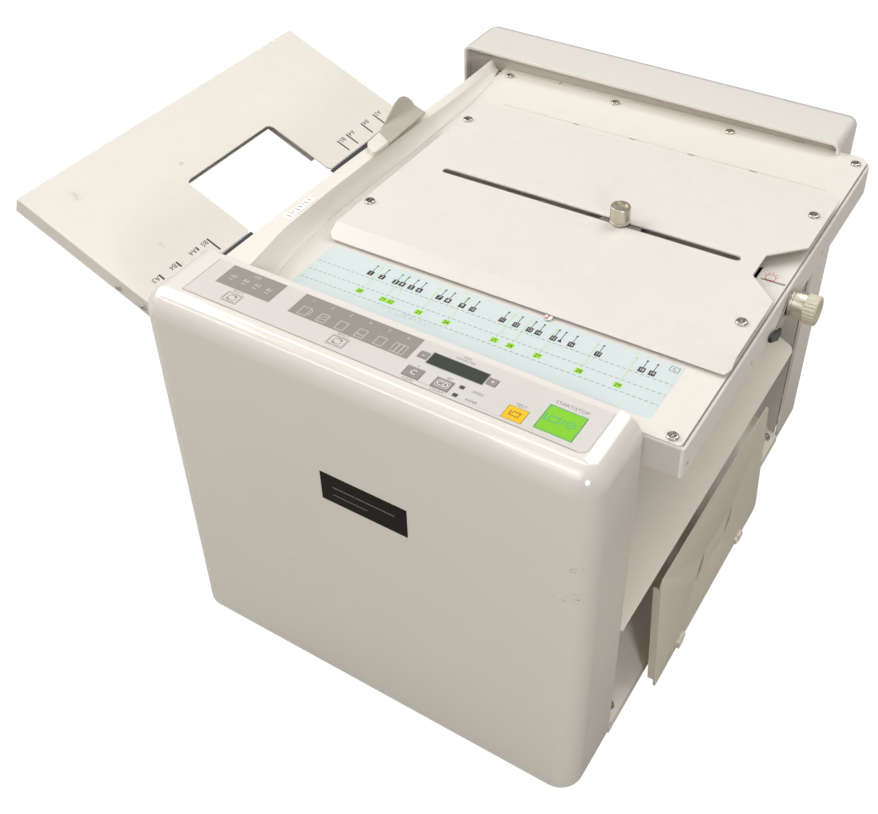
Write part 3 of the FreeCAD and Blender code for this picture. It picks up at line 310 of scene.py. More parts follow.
def cover_plastic():
    """glossy moulded plastic: orange-peel ripple, scuffs on the front right edge"""
    m, nt, b = principled("cover_plastic")
    v = coords(nt)
    col = mix(nt, ramp(nt, noise(nt, v, 4.0, 3.0, 0.5), 0.3, 0.7), (0.820, 0.778, 0.710), (0.800, 0.755, 0.685))
    marks = noise(nt, v, 520.0, 5.0, 0.75)
    for c, r, s in (((338, 0, 243), (8, 8, 6), 1.0), ((338.5, 0, 217), (9, 8, 7), 1.0), ((334, 0, 214), (16, 8, 2.5), 0.6), ((341, 1, 262), (5, 8, 9), 0.45)):
        f = math_node(nt, "MULTIPLY", blob(nt, v, P(*c), [x / 1000 for x in r]), ramp(nt, marks, 0.55, 0.62, 0.0, s))
        col = mix(nt, f, col, (0.17, 0.15, 0.14))
    sm = math_node(nt, "MULTIPLY", blob(nt, v, P(113, 0, 122), (0.015, 0.01, 0.010)), ramp(nt, noise(nt, v, 160.0, 4.0, 0.7), 0.5, 0.68, 0.0, 0.45))
    col = mix(nt, sm, col, (0.92, 0.91, 0.90))
    nt.links.new(col, b.inputs["Base Color"])
    r = ramp(nt, noise(nt, v, 26.0, 5.0, 0.6), 0.3, 0.75, 0.17, 0.27)
    nt.links.new(r, b.inputs["Roughness"])
    b.inputs["Specular IOR Level"].default_value = 0.5
    b.inputs["Coat Weight"].default_value = 1.0
    b.inputs["Coat Roughness"].default_value = 0.05
    n1 = bump(nt, noise(nt, v, 190.0, 2.0, 0.4), 0.10, 0.0001)
    nt.links.new(n1, b.inputs["Normal"])
    return m


cover_plastic()
paint("sheet_paint", (0.800, 0.755, 0.685), (0.780, 0.732, 0.660), (0.33, 0.44), 1300.0, 0.000022, specks=0.10)
# rear cover inner wall: the cover colour darkened and warmed, painted shade under the top lip with painted bounce light
# from the table
paint("inner_wall_painted_shade", (0.560, 0.510, 0.450), (0.540, 0.490, 0.430), (0.45, 0.58), 1200.0, 0.00002)
# stopper cover plate: two darker blobs along the groove beside the clamp knob, dirt marks and painted shade from the
# knob
paint("plate_paint", (0.775, 0.738, 0.675), (0.755, 0.712, 0.648), (0.33, 0.44), 1300.0, 0.000022, specks=0.08,
      smudges_and_shade=((TABLE.at(214, 232, 10), (0.020, 0.012, 0.004), (0.62, 0.57, 0.50), 0.30), (TABLE.at(246, 236, 10), (0.014, 0.010, 0.004), (0.55, 0.50, 0.44), 0.35)))
paint("tray_paint", (0.835, 0.785, 0.705), (0.820, 0.768, 0.690), (0.36, 0.47), 1300.0, 0.000022, specks=0.10,
      smudges_and_shade=((TRAY.at(-100, 105, 0), (0.012, 0.005, 0.005), (0.45, 0.40, 0.35), 0.55), (TRAY.at(-70, 200, 0), (0.003, 0.003, 0.003), (0.35, 0.30, 0.26), 0.8),
               (TRAY.at(-20, 120, 0), (0.004, 0.003, 0.003), (0.5, 0.42, 0.33), 0.6)))
paint("rim_paint", (0.835, 0.795, 0.715), (0.815, 0.772, 0.690), (0.30, 0.42), 900.0, 0.00002, big=9.0)
# front skirt: the sheet paint darkened, painted shade where the front cover shades it; its edges are rubbed lighter
paint("skirt_painted_shade", (0.640, 0.600, 0.555), (0.610, 0.568, 0.520), (0.36, 0.48), 1300.0, 0.000022, specks=0.1, edge=(0.78, 0.74, 0.69))
# delivery chute: the sheet paint lightened to stand in for light from the right under the table, painted light
paint("chute_painted_light", (0.900, 0.850, 0.760), (0.880, 0.825, 0.735), (0.36, 0.48), 1200.0, 0.00002, specks=0.1)
paint("plate_2_paint", (0.800, 0.725, 0.610), (0.775, 0.700, 0.585), (0.36, 0.48), 1200.0, 0.00002, specks=0.1)
paint("plate_b_paint", (0.900, 0.840, 0.720), (0.880, 0.815, 0.695), (0.36, 0.48), 1200.0, 0.00002, specks=0.1)
# pan's right face: the sheet paint lightened, painted light from the right
paint("skirt_right_painted_light", (0.900, 0.855, 0.800), (0.880, 0.830, 0.775), (0.36, 0.48), 1300.0, 0.000022, specks=0.1)
paint("frame_paint", (0.62, 0.60, 0.56), (0.58, 0.56, 0.52), (0.42, 0.55), 1200.0, 0.00003)
paint("black_paint", (0.035, 0.034, 0.033), (0.05, 0.048, 0.045), (0.40, 0.55), 1200.0, 0.00003)
paint("film", (0.675, 0.650, 0.605), (0.655, 0.630, 0.585), (0.42, 0.52), 1500.0, 0.00001, big=12.0)
paint("chart_film", (0.630, 0.708, 0.704), (0.650, 0.716, 0.706), (0.36, 0.46), 1500.0, 0.00001, big=12.0,
      smudges_and_shade=((TABLE.at(163, 86, 0), (0.030, 0.004, 0.004), (0.42, 0.44, 0.44), 0.55),))
paint("key_panel", (0.285, 0.262, 0.235), (0.305, 0.280, 0.252), (0.42, 0.52), 1500.0, 0.00001, big=12.0)
paint("badge_black", (0.0035, 0.0038, 0.004), (0.005, 0.005, 0.0055), (0.22, 0.32), 900.0, 0.00001, spec=0.12)
paint("lcd_glass", (0.048, 0.060, 0.048), (0.060, 0.074, 0.058), (0.10, 0.16), 900.0, 0.000005, coat=0.6)
paint("green_key", (0.235, 0.610, 0.030), (0.255, 0.640, 0.036), (0.26, 0.36), 900.0, 0.00001, coat=0.25)
paint("yellow_key", (0.920, 0.540, 0.018), (0.900, 0.510, 0.014), (0.26, 0.36), 900.0, 0.00001, coat=0.25)
paint("white_plastic", (0.80, 0.80, 0.78), (0.77, 0.77, 0.75), (0.20, 0.30), 600.0, 0.00002, coat=0.3)
paint("cap_plastic", (0.820, 0.790, 0.705), (0.790, 0.755, 0.665), (0.20, 0.30), 600.0, 0.00002, coat=0.3)
paint("cream_plastic", (0.640, 0.590, 0.455), (0.60, 0.545, 0.41), (0.34, 0.46), 900.0, 0.00003)
paint("black_plastic", (0.020, 0.020, 0.021), (0.028, 0.028, 0.029), (0.38, 0.52), 1600.0, 0.00006)
paint("rubber", (0.022, 0.021, 0.020), (0.034, 0.032, 0.030), (0.65, 0.80), 1400.0, 0.00006)
paint("red_plastic", (0.50, 0.035, 0.030), (0.46, 0.03, 0.028), (0.30, 0.40), 900.0, 0.00001)
paint("gear_plastic", (0.78, 0.76, 0.70), (0.74, 0.72, 0.66), (0.35, 0.45), 900.0, 0.00003)
paint("board_green", (0.018, 0.11, 0.045), (0.022, 0.13, 0.055), (0.30, 0.42), 900.0, 0.00003)
paint("lever_paint", (0.500, 0.468, 0.390), (0.465, 0.430, 0.350), (0.26, 0.36), 900.0, 0.00002, big=30.0)
metal("nickel", (0.66, 0.63, 0.57), (0.20, 0.34), dirt=(0.36, 0.31, 0.23))
metal("nickel_knob", (0.68, 0.63, 0.52), (0.34, 0.50), brush=(0.05, 1.0, 1.0), dirt=(0.38, 0.33, 0.25), dirt_amount=0.3)
metal("steel", (0.55, 0.54, 0.52), (0.28, 0.42), brush=(1.0, 0.06, 1.0))
metal("roller_steel", (0.40, 0.39, 0.38), (0.38, 0.52), brush=(1.0, 0.06, 1.0))
metal("bronze", (0.52, 0.36, 0.18), (0.35, 0.5))
ink("ink_black", (0.018, 0.018, 0.020))
ink("ink_dark", (0.060, 0.054, 0.050))
ink("ink_grey", (0.200, 0.182, 0.165))
ink("ink_pale", (0.560, 0.535, 0.500))
ink("ink_white", (0.760, 0.750, 0.730))
ink("ink_green", (0.300, 0.640, 0.020))
ink("ink_green_pale", (0.360, 0.640, 0.230))
ink("ink_sticker", (0.900, 0.875, 0.805))
ink("ink_red", (0.520, 0.050, 0.045))
ink("ink_teal", (0.030, 0.330, 0.290))

# which finish each CAD node gets when its own mesh stays
KEEP = {
    "circuit_boards": "board_green", "base_plate": "frame_paint", "front_side_frame": "frame_paint", "rear_side_frame": "frame_paint",
    "tie_bars": "steel", "fold_plate_1_guide": "steel", "feed_shaft": "steel", "feed_roller": "rubber", "entry_guides": "steel",
    "front_paper_guide": "steel", "rear_paper_guide": "steel", "guide_pinion": "gear_plastic", "roller_bushes": "bronze", "drive_motor": "black_paint",
    "motor_pulley": "gear_plastic", "drive_belts": "rubber", "fold_plate_2": "plate_b_paint", "stopper_2": "steel", "receiving_plate_hinges": "plate_2_paint",
    "tray_arms": "sheet_paint", "feed_floor": "black_paint",
}
for i in (1, 2, 3, 4):
    KEEP["fold_roller_%d" % i] = "roller_steel"
    KEEP["roller_gear_%d" % i] = "gear_plastic"
for n, mname in KEEP.items():
    o = NODES[n]
    if not o.material_slots:
        o.data.materials.append(MATS[mname])
    for s in o.material_slots:
        s.material = MATS[mname]

# ------------------------------------------------------------------ making pieces
def new_obj(name, mesh, mats, body):
    o = bpy.data.objects.new(name, mesh)
    scene.collection.objects.link(o)
    for m in mats:
        mesh.materials.append(MATS[m])
    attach(o, body)
    return o


def finish_mesh(bm, name):
    me = bpy.data.meshes.new(name)
    bm.to_mesh(me)
    bm.free()
    return me


def smooth(me, angle=30.0):
    me.shade_smooth()
    me.set_sharp_from_angle(angle=math.radians(angle))


def loft_copy(node_name, mats, name=None, bevel=0.3, segs=2, angle=32.0, dissolve=0.6, chooser=None, keep=None, replaces=True, weighted=True):
    """the node's own shape as a clean mesh with rounded edges; keep(centre_mm, normal) picks faces, chooser gives their finish"""
    src = NODES[node_name]
    bm = bmesh.new()
    bm.from_mesh(src.data)
    bmesh.ops.remove_doubles(bm, verts=bm.verts, dist=2e-6)
    if dissolve:
        bmesh.ops.dissolve_limit(bm, angle_limit=math.radians(dissolve), verts=bm.verts, edges=bm.edges, delimit={"NORMAL"})
    if keep:
        seen, islands = set(), []
        for f in bm.faces:
            if f in seen:
                continue
            stack, isl = [f], []
            seen.add(f)
            while stack:
                g = stack.pop()
                isl.append(g)
                for e in g.edges:
                    for h in e.link_faces:
                        if h not in seen:
                            seen.add(h)
                            stack.append(h)
            islands.append(isl)
        gone = []
        for isl in islands:
            vs = {v for f in isl for v in f.verts}
            c = sum((v.co for v in vs), Vector()) / len(vs)
            if not keep((c - S0) * 1000):
                gone += isl
        bmesh.ops.delete(bm, geom=gone, context="FACES")
    for f in bm.faces:
        f.smooth = True
        f.material_index = chooser((f.calc_center_median() - S0) * 1000, f.normal) if chooser else 0
    me = finish_mesh(bm, name or node_name + "_shell")
    smooth(me, angle)
    o = new_obj(name or node_name + "_shell", me, mats, NODE_BODY[node_name])
    if bevel:
        b = o.modifiers.new("edge", "BEVEL")
        b.width, b.segments, b.limit_method, b.angle_limit = bevel / 1000.0, segs, "ANGLE", math.radians(angle)
        b.use_clamp_overlap = True
        b.harden_normals = False
        b.miter_outer = "MITER_ARC"
        if weighted:
            w = o.modifiers.new("normals", "WEIGHTED_NORMAL")
            w.keep_sharp = True
    if replaces:
        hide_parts(node_name)
    return o


class Print:
    """flat printed marks on a plane, as thin closed pieces"""

    def __init__(self, plane, t=0.05, h=0.0):
        self.p, self.t, self.h, self.bm = plane, t, h, bmesh.new()

    def poly(self, pts):
        a = sum(pts[i][0] * pts[(i + 1) % len(pts)][1] - pts[(i + 1) % len(pts)][0] * pts[i][1] for i in range(len(pts)))
        if a < 0:
            pts = list(reversed(pts))
        lo = [self.bm.verts.new(self.p.at(x, y, self.h - 0.02)) for x, y in pts]
        hi = [self.bm.verts.new(self.p.at(x, y, self.h + self.t)) for x, y in pts]
        self.bm.faces.new(hi)
        self.bm.faces.new(list(reversed(lo)))
        for i in range(len(pts)):
            j = (i + 1) % len(pts)
            self.bm.faces.new((lo[i], lo[j], hi[j], hi[i]))

    def rect(self, x0, x1, y0, y1):
        self.poly([(x0, y0), (x1, y0), (x1, y1), (x0, y1)])

    def line(self, x0, y0, x1, y1, w):
        d = math.hypot(x1 - x0, y1 - y0)
        nx, ny = -(y1 - y0) / d * w / 2, (x1 - x0) / d * w / 2
        self.poly([(x0 + nx, y0 + ny), (x0 - nx, y0 - ny), (x1 - nx, y1 - ny), (x1 + nx, y1 + ny)])

    def path(self, pts, w, closed=True):
        n = len(pts)
        for i in range(n if closed else n - 1):
            a, b = pts[i], pts[(i + 1) % n]
            self.line(a[0], a[1], b[0], b[1], w)

    def box(self, x0, x1, y0, y1, w):
        self.rect(x0, x1, y0, y0 + w)
        self.rect(x0, x1, y1 - w, y1)
        self.rect(x0, x0 + w, y0 + w, y1 - w)
        self.rect(x1 - w, x1, y0 + w, y1 - w)

    def rbox(self, x0, x1, y0, y1, r, w):
        pts = rounded(x0, x1, y0, y1, r)
        inn = rounded(x0 + w, x1 - w, y0 + w, y1 - w, max(r - w, 0.05))
        for i in range(len(pts)):
            j = (i + 1) % len(pts)
            self.poly([pts[i], pts[j], inn[j], inn[i]])

    def disc(self, x, y, r, n=12):
        self.poly([(x + r * math.cos(2 * math.pi * i / n), y + r * math.sin(2 * math.pi * i / n)) for i in range(n)])

    def dash(self, x0, y0, x1, y1, w, on, off):
        d = math.hypot(x1 - x0, y1 - y0)
        k = 0.0
        while k < d:
            e = min(k + on, d)
            self.line(x0 + (x1 - x0) * k / d, y0 + (y1 - y0) * k / d, x0 + (x1 - x0) * e / d, y0 + (y1 - y0) * e / d, w)
            k += on + off

    def text(self, s, x, y, size, angle=0.0, align="CENTER", sx=1.0):
        cu = bpy.data.curves.new("t", "FONT")
        cu.body, cu.size, cu.align_x, cu.align_y = s, 1.0, align, "CENTER"
        cu.extrude, cu.resolution_u = 0.0, 2
        ob = bpy.data.objects.new("t", cu)
        scene.collection.objects.link(ob)
        bpy.context.view_layer.update()
        me = bpy.data.meshes.new_from_object(ob.evaluated_get(bpy.context.evaluated_depsgraph_get()))
        bpy.data.objects.remove(ob)
        bpy.data.curves.remove(cu)
        t2 = bmesh.new()
        t2.from_mesh(me)
        bpy.data.meshes.remove(me)
        ca, sa = math.cos(math.radians(angle)), math.sin(math.radians(angle))
        for v in t2.verts:
            a, b = v.co.x * size * sx, v.co.y * size
            v.co = self.p.at(x + a * ca - b * sa, y + a * sa + b * ca, self.h - 0.02)
        r = bmesh.ops.extrude_face_region(t2, geom=list(t2.faces))
        up_ = [g for g in r["geom"] if isinstance(g, bmesh.types.BMVert)]
        bmesh.ops.translate(t2, verts=up_, vec=self.p.ez * (self.t + 0.02) / 1000.0)
        bmesh.ops.recalc_face_normals(t2, faces=t2.faces)
        tmp = bpy.data.meshes.new("tmp")
        t2.to_mesh(tmp)
        t2.free()
        self.bm.from_mesh(tmp)
        bpy.data.meshes.remove(tmp)

    def done(self, name, mat, body=None):
        me = finish_mesh(self.bm, name)
        return new_obj(name, me, [mat], body or ROOT)


def rounded(x0, x1, y0, y1, r, n=5):
    pts = []
    for cx, cy, a0 in ((x1 - r, y0 + r, -90), (x1 - r, y1 - r, 0), (x0 + r, y1 - r, 90), (x0 + r, y0 + r, 180)):
        for k in range(n + 1):
            a = math.radians(a0 + 90.0 * k / n)
            pts.append((cx + r * math.cos(a), cy + r * math.sin(a)))
    return pts


def lathe(name, origin, axis, profile, n, mats, body, flutes=0, depth=0.0, zone=None, sharp=30.0, round_flute=False, matzone=None):
    """turned piece: profile = [(radius, distance along axis)], mm; flutes cut into the zone of distances"""
    ax = Vector(axis).normalized()
    ref = Vector((0, 1, 0)) if abs(ax.y) < 0.9 else Vector((1, 0, 0))
    e1 = (ref - ax * ref.dot(ax)).normalized()
    e2 = ax.cross(e1)
    bm = bmesh.new()
    rings = []
    for r, d in profile:
        ring = []
        for i in range(n):
            a = 2 * math.pi * i / n
            rr = r
            if flutes and zone and zone[0] <= d <= zone[1]:
                ph = (a * flutes / (2 * math.pi)) % 1.0
                if round_flute:
                    rr = r - depth * max(0.0, 1 - ((ph - 0.5) / 0.28) ** 2)
                else:
                    rr = r - depth * (0.5 - 0.5 * math.cos(2 * math.pi * ph))
            ring.append(bm.verts.new(origin + (e1 * math.cos(a) * rr + e2 * math.sin(a) * rr + ax * d) / 1000.0))
        rings.append(ring)
    for k in range(len(rings) - 1):
        for i in range(n):
            j = (i + 1) % n
            f = bm.faces.new((rings[k][i], rings[k][j], rings[k + 1][j], rings[k + 1][i]))
            f.smooth = True
            if matzone:
                f.material_index = matzone((profile[k][1] + profile[k + 1][1]) / 2, (profile[k][0] + profile[k + 1][0]) / 2)
    bm.faces.new(list(reversed(rings[0])))
    bm.faces.new(rings[-1])
    bmesh.ops.recalc_face_normals(bm, faces=bm.faces)
    me = finish_mesh(bm, name)
    smooth(me, sharp)
    return new_obj(name, me, mats, body)


def grid_sheet(name, rows, thick, mats, body, slot=None, sub=2):
    """a smooth bent sheet through rows of points (world), with thickness"""
    bm = bmesh.new()
    vs = [[bm.verts.new(p) for p in row] for row in rows]
    for i in range(len(vs) - 1):
        for j in range(len(vs[0]) - 1):
            f = bm.faces.new((vs[i][j], vs[i][j + 1], vs[i + 1][j + 1], vs[i + 1][j]))
            f.smooth = True
    bmesh.ops.recalc_face_normals(bm, faces=bm.faces)
    me = finish_mesh(bm, name)
    o = new_obj(name, me, mats, body)
    if sub:
        m = o.modifiers.new("sub", "SUBSURF")
        m.levels = m.render_levels = sub
    m = o.modifiers.new("thick", "SOLIDIFY")
    m.thickness, m.offset = thick / 1000.0, 0.0
    m = o.modifiers.new("edge", "BEVEL")
    m.width, m.segments, m.limit_method, m.angle_limit = 0.0002, 2, "ANGLE", math.radians(50)
    return o


# ------------------------------------------------------------------ covers and sheets from the frame's own shapes
loft_copy("front_cover", ["cover_plastic"], bevel=0.35, angle=38)
# the rear cover's inner wall faces under the top lip get the darkened copy of the cover colour, painted shade
loft_copy("rear_cover", ["cover_plastic", "inner_wall_painted_shade"], bevel=0.4, angle=38, dissolve=0, chooser=lambda c, n: 1 if n.y < -0.5 and 426.5 < c.y < 433.5 and c.z > 280 else 0)
loft_copy("control_overlay", ["film"], bevel=0.08, segs=1)
loft_copy("table_sheet", ["sheet_paint"], bevel=0.3)
# the pan's front skirt gets the darkened copy of the sheet paint (painted shade), its right face a lightened copy
# (painted light)
loft_copy("fold_plate_1_pan", ["skirt_painted_shade", "skirt_right_painted_light"], bevel=0.45, chooser=lambda c, n: 1 if c.x > 369.8 and n.x > 0.3 else 0)
loft_copy("stopper_cover_plate", ["plate_paint"], bevel=0.3)
loft_copy("rim_cover", ["rim_paint"], bevel=0.4, angle=40, dissolve=0)
loft_copy("feed_tray", ["tray_paint"], bevel=0.3)
# the tray extension takes the same darkened skirt copy of the sheet paint, painted shade
loft_copy("tray_extension", ["skirt_painted_shade"], bevel=0.3)
# the chute gets the lightened copy of the sheet paint, painted light
loft_copy("delivery_chute", ["chute_painted_light"], bevel=0.25)
loft_copy("receiving_plate", ["plate_2_paint"], bevel=0.2, dissolve=0, weighted=False)
loft_copy("screws_and_spacers", ["nickel"], bevel=0.12, segs=2, angle=35)
loft_copy("rubber_feet", ["rubber"], bevel=0.3)
loft_copy("setting_chart", ["chart_film"], bevel=0.05, segs=1)
loft_copy("name_plate", ["badge_black"], bevel=0.1)
loft_copy("power_inlet", ["black_plastic", "nickel"], bevel=0.3, chooser=lambda c, n: 1 if 475.6 < c.y < 486.4 and abs(c.z - 44) < 5 and c.x < 49 and c.x > 31 and abs(n.y) < 0.5 and (abs(c.x - 33) < 1.2 or abs(c.x - 47) < 1.2 or abs(c.x - 40) < 1.2) else 0)
loft_copy("power_rocker", ["black_plastic"], bevel=0.4)
for k in ("clear_key", "counter_key", "minus_key", "plus_key"):
    loft_copy(k, ["key_panel"], bevel=0.25)
for k in ("paper_size_key", "fold_type_key"):
    loft_copy(k, ["film"], bevel=0.25)
loft_copy("start_stop_key", ["green_key"], bevel=0.3)
loft_copy("test_key", ["yellow_key"], bevel=0.3)
loft_copy("skew_indicator", ["red_plastic"], bevel=0.2)
loft_copy("skew_lock_lever", ["steel", "black_plastic"], bevel=0.2, chooser=lambda c, n: 1 if c.x * C1 + (c.z - 305.3) * S1 > 373.05 or c.y < 222 else 0)
loft_copy("stopper_1", ["steel"], bevel=0.2)
loft_copy("feed_lever", ["cap_plastic", "lever_paint"], bevel=0.3, chooser=lambda c, n: 0 if c.y < 251.3 - 0.581 * (c.x - 27.6) else 1)

# clamp knob: turned, straight knurl, hollow top
KO = TABLE.at(243.3, 243.0, 0)
prof = [(1.8, 10.6), (6.6, 10.6), (7.15, 11.1), (7.3, 11.4), (7.3, 12.6), (7.0, 12.8), (7.0, 13.2), (7.25, 13.4)]
prof += [(7.3, 13.5 + 0.9 * k) for k in range(9)]
prof += [(7.3, 22.4), (7.3, 23.4), (7.15, 24.1), (6.7, 24.55), (6.1, 24.6), (5.5, 24.55), (5.3, 24.2), (5.3, 22.6), (0.6, 22.5)]
knob = lathe("clamp_knob_turned", KO, TABLE.ez, prof, 240, ["nickel_knob"], "clamp_knob_1", flutes=60, depth=0.10, zone=(13.4, 22.3), sharp=35)
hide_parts("clamp_knob_1")

# skew knob: nickel collar on its shaft and a fluted cream grip
SO = TABLE.at(0, 245.0, -14.75)
prof = [(1.8, 342.2), (1.8, 373.4), (9.3, 373.4), (9.8, 373.9), (9.8, 375.4), (9.5, 375.6), (9.5, 376.0), (9.8, 376.2), (9.8, 383.3), (9.4, 384.0), (2.0, 384.0)]
collar = lathe("skew_knob_collar", SO, TABLE.ex, prof, 96, ["nickel_knob"], "skew_knob")
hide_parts("skew_knob")
prof = [(2.0, 384.0), (10.1, 384.0), (10.6, 384.4)] + [(10.6, 384.8 + 0.7 * k) for k in range(9)] + [(10.6, 391.2), (10.45, 392.0), (10.0, 392.7), (9.2, 393.0), (5.8, 393.0), (5.5, 392.7), (0.8, 392.6)]
grip = lathe("skew_knob_grip", SO, TABLE.ex, prof, 288, ["cream_plastic"], "skew_knob", flutes=24, depth=0.55, zone=(384.3, 391.3), round_flute=True, sharp=45)

# ------------------------------------------------------------------ printed marks
# chart
CT_ = 0.15
ch = Print(TABLE, 0.03, CT_)
for y in (110.0, 99.3, 89.0):
    ch.dash(71.5, y - 0.6, 343.2, y + 0.6, 0.45, 2.6, 1.5)
ch.done("chart_dashes", "ink_grey")
ch = Print(TABLE, 0.05, CT_)
BX = [113.3, 122.9, 134.5, 139.9, 147.3, 153.9, 170.3, 177.2, 188.5, 196.7, 219.8, 230.2, 240.5, 246.9, 258.0, 262.9, 271.0, 290.2, 320.6, 327.7]
NUM = ["1", "2", "3", "4", "5", "6", "7", "8", "9", "10", "11", "12", "13", "14", "15", "", "16", "17", "18", "19"]
for x, s in zip(BX, NUM):
    if s:
        ch.rect(x - 2.2, x + 2.2, 112.2, 117.0)
        ch.line(x, 117.0, x, 123.4, 0.5)
        ch.disc(x, 124.0, 0.75)
    else:
        ch.poly([(x - 1.6, 113.0), (x + 1.6, 113.0), (x, 116.5)])
        ch.line(x, 116.0, x, 123.4, 0.5)
        ch.disc(x, 124.0, 0.75)
ch.box(335.4, 341.6, 122.4, 127.4, 0.35)
ch.disc(338.0, 125.6, 0.5)
ch.line(337.2, 124.2, 340.0, 124.2, 0.35)
ch.done("chart_boxes", "ink_black")
ch = Print(TABLE, 0.07, CT_)
for x, s in zip(BX, NUM):
    if s:
        ch.text(s, x, 114.6, 4.6 if len(s) == 1 else 3.9, sx=0.95 if len(s) == 1 else 0.8)
ch.done("chart_numbers_light", "ink_white")
ch = Print(TABLE, 0.04, CT_)
GX = {20: (118.4, 118.0), 21: (138.0, 134.3), 22: (143.9, 139.3), 23: (166.9, 165.6), 24: (188.6, 187.4), 25: (225.6, 224.5), 26: (237.4, 237.0), 27: (257.5, 256.0), 28: (287.0, 286.0), 29: (313.8, 313.3)}
for s, (x, xt) in GX.items():
    ch.rect(x - 2.7, x + 2.7, 91.7, 96.3)
ch.done("chart_green_boxes", "ink_green")
ch = Print(TABLE, 0.03, CT_ + 0.02)
for s, (x, xt) in GX.items():
    ch.line(x, 96.3, x, 107.0, 0.4)
    ch.line(x, 107.0, xt, 112.0, 0.4)
    ch.line(xt, 112.0, xt, 123.0, 0.4)
    ch.disc(xt, 123.6, 0.8)
ch.done("chart_green_pins", "ink_green_pale")
ch = Print(TABLE, 0.07, CT_)
for s, (x, xt) in GX.items():
    ch.text(str(s), x, 94.0, 4.5, sx=0.85)
ch.done("chart_numbers_dark", "ink_black")

# grey panels with their small pictures
pn = Print(PANEL, 0.03)
pn.rect(41.8, 87.5, 35.7, 56.6)
pn.rect(103.8, 197.1, 34.9, 56.2)
pn.done("panel_fields", "key_panel")
pn = Print(PANEL, 0.06)
for i, x in enumerate((49.6, 60.2, 69.8, 79.8)):
    pn.text(("A3", "B4", "A4", "B5")[i], x, 46.2, 4.2)
    pn.rect(x - 1.7, x + 1.7, 42.6, 43.1)
pn.text("SIZE", 64.6, 53.2, 3.4)
for i, x in enumerate((113.4, 128.4, 143.3, 158.6, 173.3, 187.8)):
    pn.text(("1", "2", "3", "4", "5", "6")[i], x - 0.6, 52.6, 3.6)
    if i == 5:
        for d in (-3.4, -0.2, 3.0):
            pn.box(x + d - 1.7, x + d + 1.6, 36.4, 45.4, 0.4)
    else:
        pn.box(x - 3.4, x + 3.4, 36.6, 45.0, 0.45)
        if i in (1, 3):
            pn.line(x - 3.2, 40.6, x + 3.2, 43.4 if i == 1 else 38.6, 0.35)
            pn.line(x - 3.2, 38.6, x + 3.2, 40.4, 0.35)
        if i == 0:
            pn.line(x + 3.4, 45.0, x + 5.0, 43.0, 0.4)
            pn.line(x + 5.0, 43.0, x + 5.0, 38.0, 0.4)
pn.done("panel_pictures", "ink_pale")
ol = Print(PANEL, 0.02)
ol.rect(28.2, 28.6, 18.0, 57.0)
ol.rect(28.2, 324.0, 17.9, 18.25)
ol.done("overlay_outline", "ink_grey")
# outlined keys
for key, (x, y, a, b) in {"paper_size_key": (63.5, 27.2, 12.5, 9.0), "fold_type_key": (150.1, 26.8, 12.5, 9.0)}.items():
    kp = Print(KEYTOP, 0.04)
    kp.rbox(x - a / 2 + 0.5, x + a / 2 - 0.5, y - b / 2 + 0.5, y + b / 2 - 0.5, 1.0, 0.45)
    for s in (1, -1):
        kp.path([(x - 3.2 * s, y - 0.3 * s), (x - 2.6 * s, y + 1.9 * s), (x - 0.2 * s, y + 2.6 * s), (x + 2.2 * s, y + 2.0 * s)], 0.5, False)
        kp.poly([(x + 1.6 * s, y + 3.1 * s), (x + 3.9 * s, y + 1.3 * s), (x + 1.3 * s, y + 0.9 * s)])
    kp.done(key + "_print", "ink_grey", key)
pn = Print(PANEL, 0.04)
for x, y, s, z in ((63.5, 33.9, "SELECT", 2.4), (150.1, 33.4, "SELECT", 2.4), (207.5, 19.8, "CLEAR", 2.4), (228.6, 19.8, "COUNT", 2.4), (207.5, 33.2, "0", 2.4),
                   (230.0, 33.2, "SET", 2.4), (279.0, 34.4, "TEST", 3.0), (305.5, 48.6, "START/STOP", 3.4), (229.5, 52.2, "COUNTER", 2.6), (229.5, 55.0, "0000", 2.2)):
    pn.text(s, x, y, z * 1.15)
for x, y, s in ((240.3, 30.5, "SPEED"), (240.1, 22.6, "PAPER")):
    pn.text(s, x + 11.2, y, 2.9)
pn.done("panel_words", "ink_grey")
pn = Print(PANEL, 0.05)
for x, y in ((240.3, 30.5), (240.1, 22.6)):
    pn.rect(x - 1.7, x + 1.7, y - 1.5, y + 1.5)
pn.done("panel_lamps", "ink_dark")
for key, s, x, y, z in (("clear_key", "C", 207.5, 26.8, 6.2), ("counter_key", "CD", 228.6, 26.8, 5.6), ("minus_key", "-", 204.3, 43.8, 5.5), ("plus_key", "+", 253.8, 43.8, 5.0)):
    kp = Print(KEYTOP, 0.04)
    kp.text(s, x, y, z)
    if len(s) == 2:
        kp.rbox(x - 4.6, x + 4.6, y - 2.9, y + 2.9, 1.2, 0.3)
    kp.done(key + "_print", "ink_white", key)
kp = Print(KEYTOP, 0.04)
x, y = 279.0, 26.7
kp.path([(x - 3.4, y + 2.0), (x - 3.4, y - 2.0), (x + 2.6, y - 2.0), (x + 3.2, y + 1.6), (x - 1.4, y + 1.6)], 0.55, False)
kp.line(x - 1.4, y + 1.6, x - 2.2, y - 0.6, 0.45)
kp.done("test_key_print", "ink_dark", "test_key")
kp = Print(KEYTOP, 0.04)
x, y = 299.6, 34.6
kp.path([(x - 4.6, y + 2.6), (x - 4.6, y - 2.6), (x + 3.8, y - 2.6), (x + 4.6, y + 2.0), (x - 1.6, y + 2.0)], 0.5, False)
kp.line(x - 1.6, y + 2.0, x - 2.8, y - 0.8, 0.4)
kp.line(x + 5.9, y - 2.8, x + 7.2, y + 2.8, 0.4)
x = 311.4
kp.rbox(x - 3.0, x + 3.4, y - 2.6, y + 2.6, 2.4, 0.4)
kp.line(x - 1.6, y - 1.4, x + 2.0, y + 1.4, 0.4)
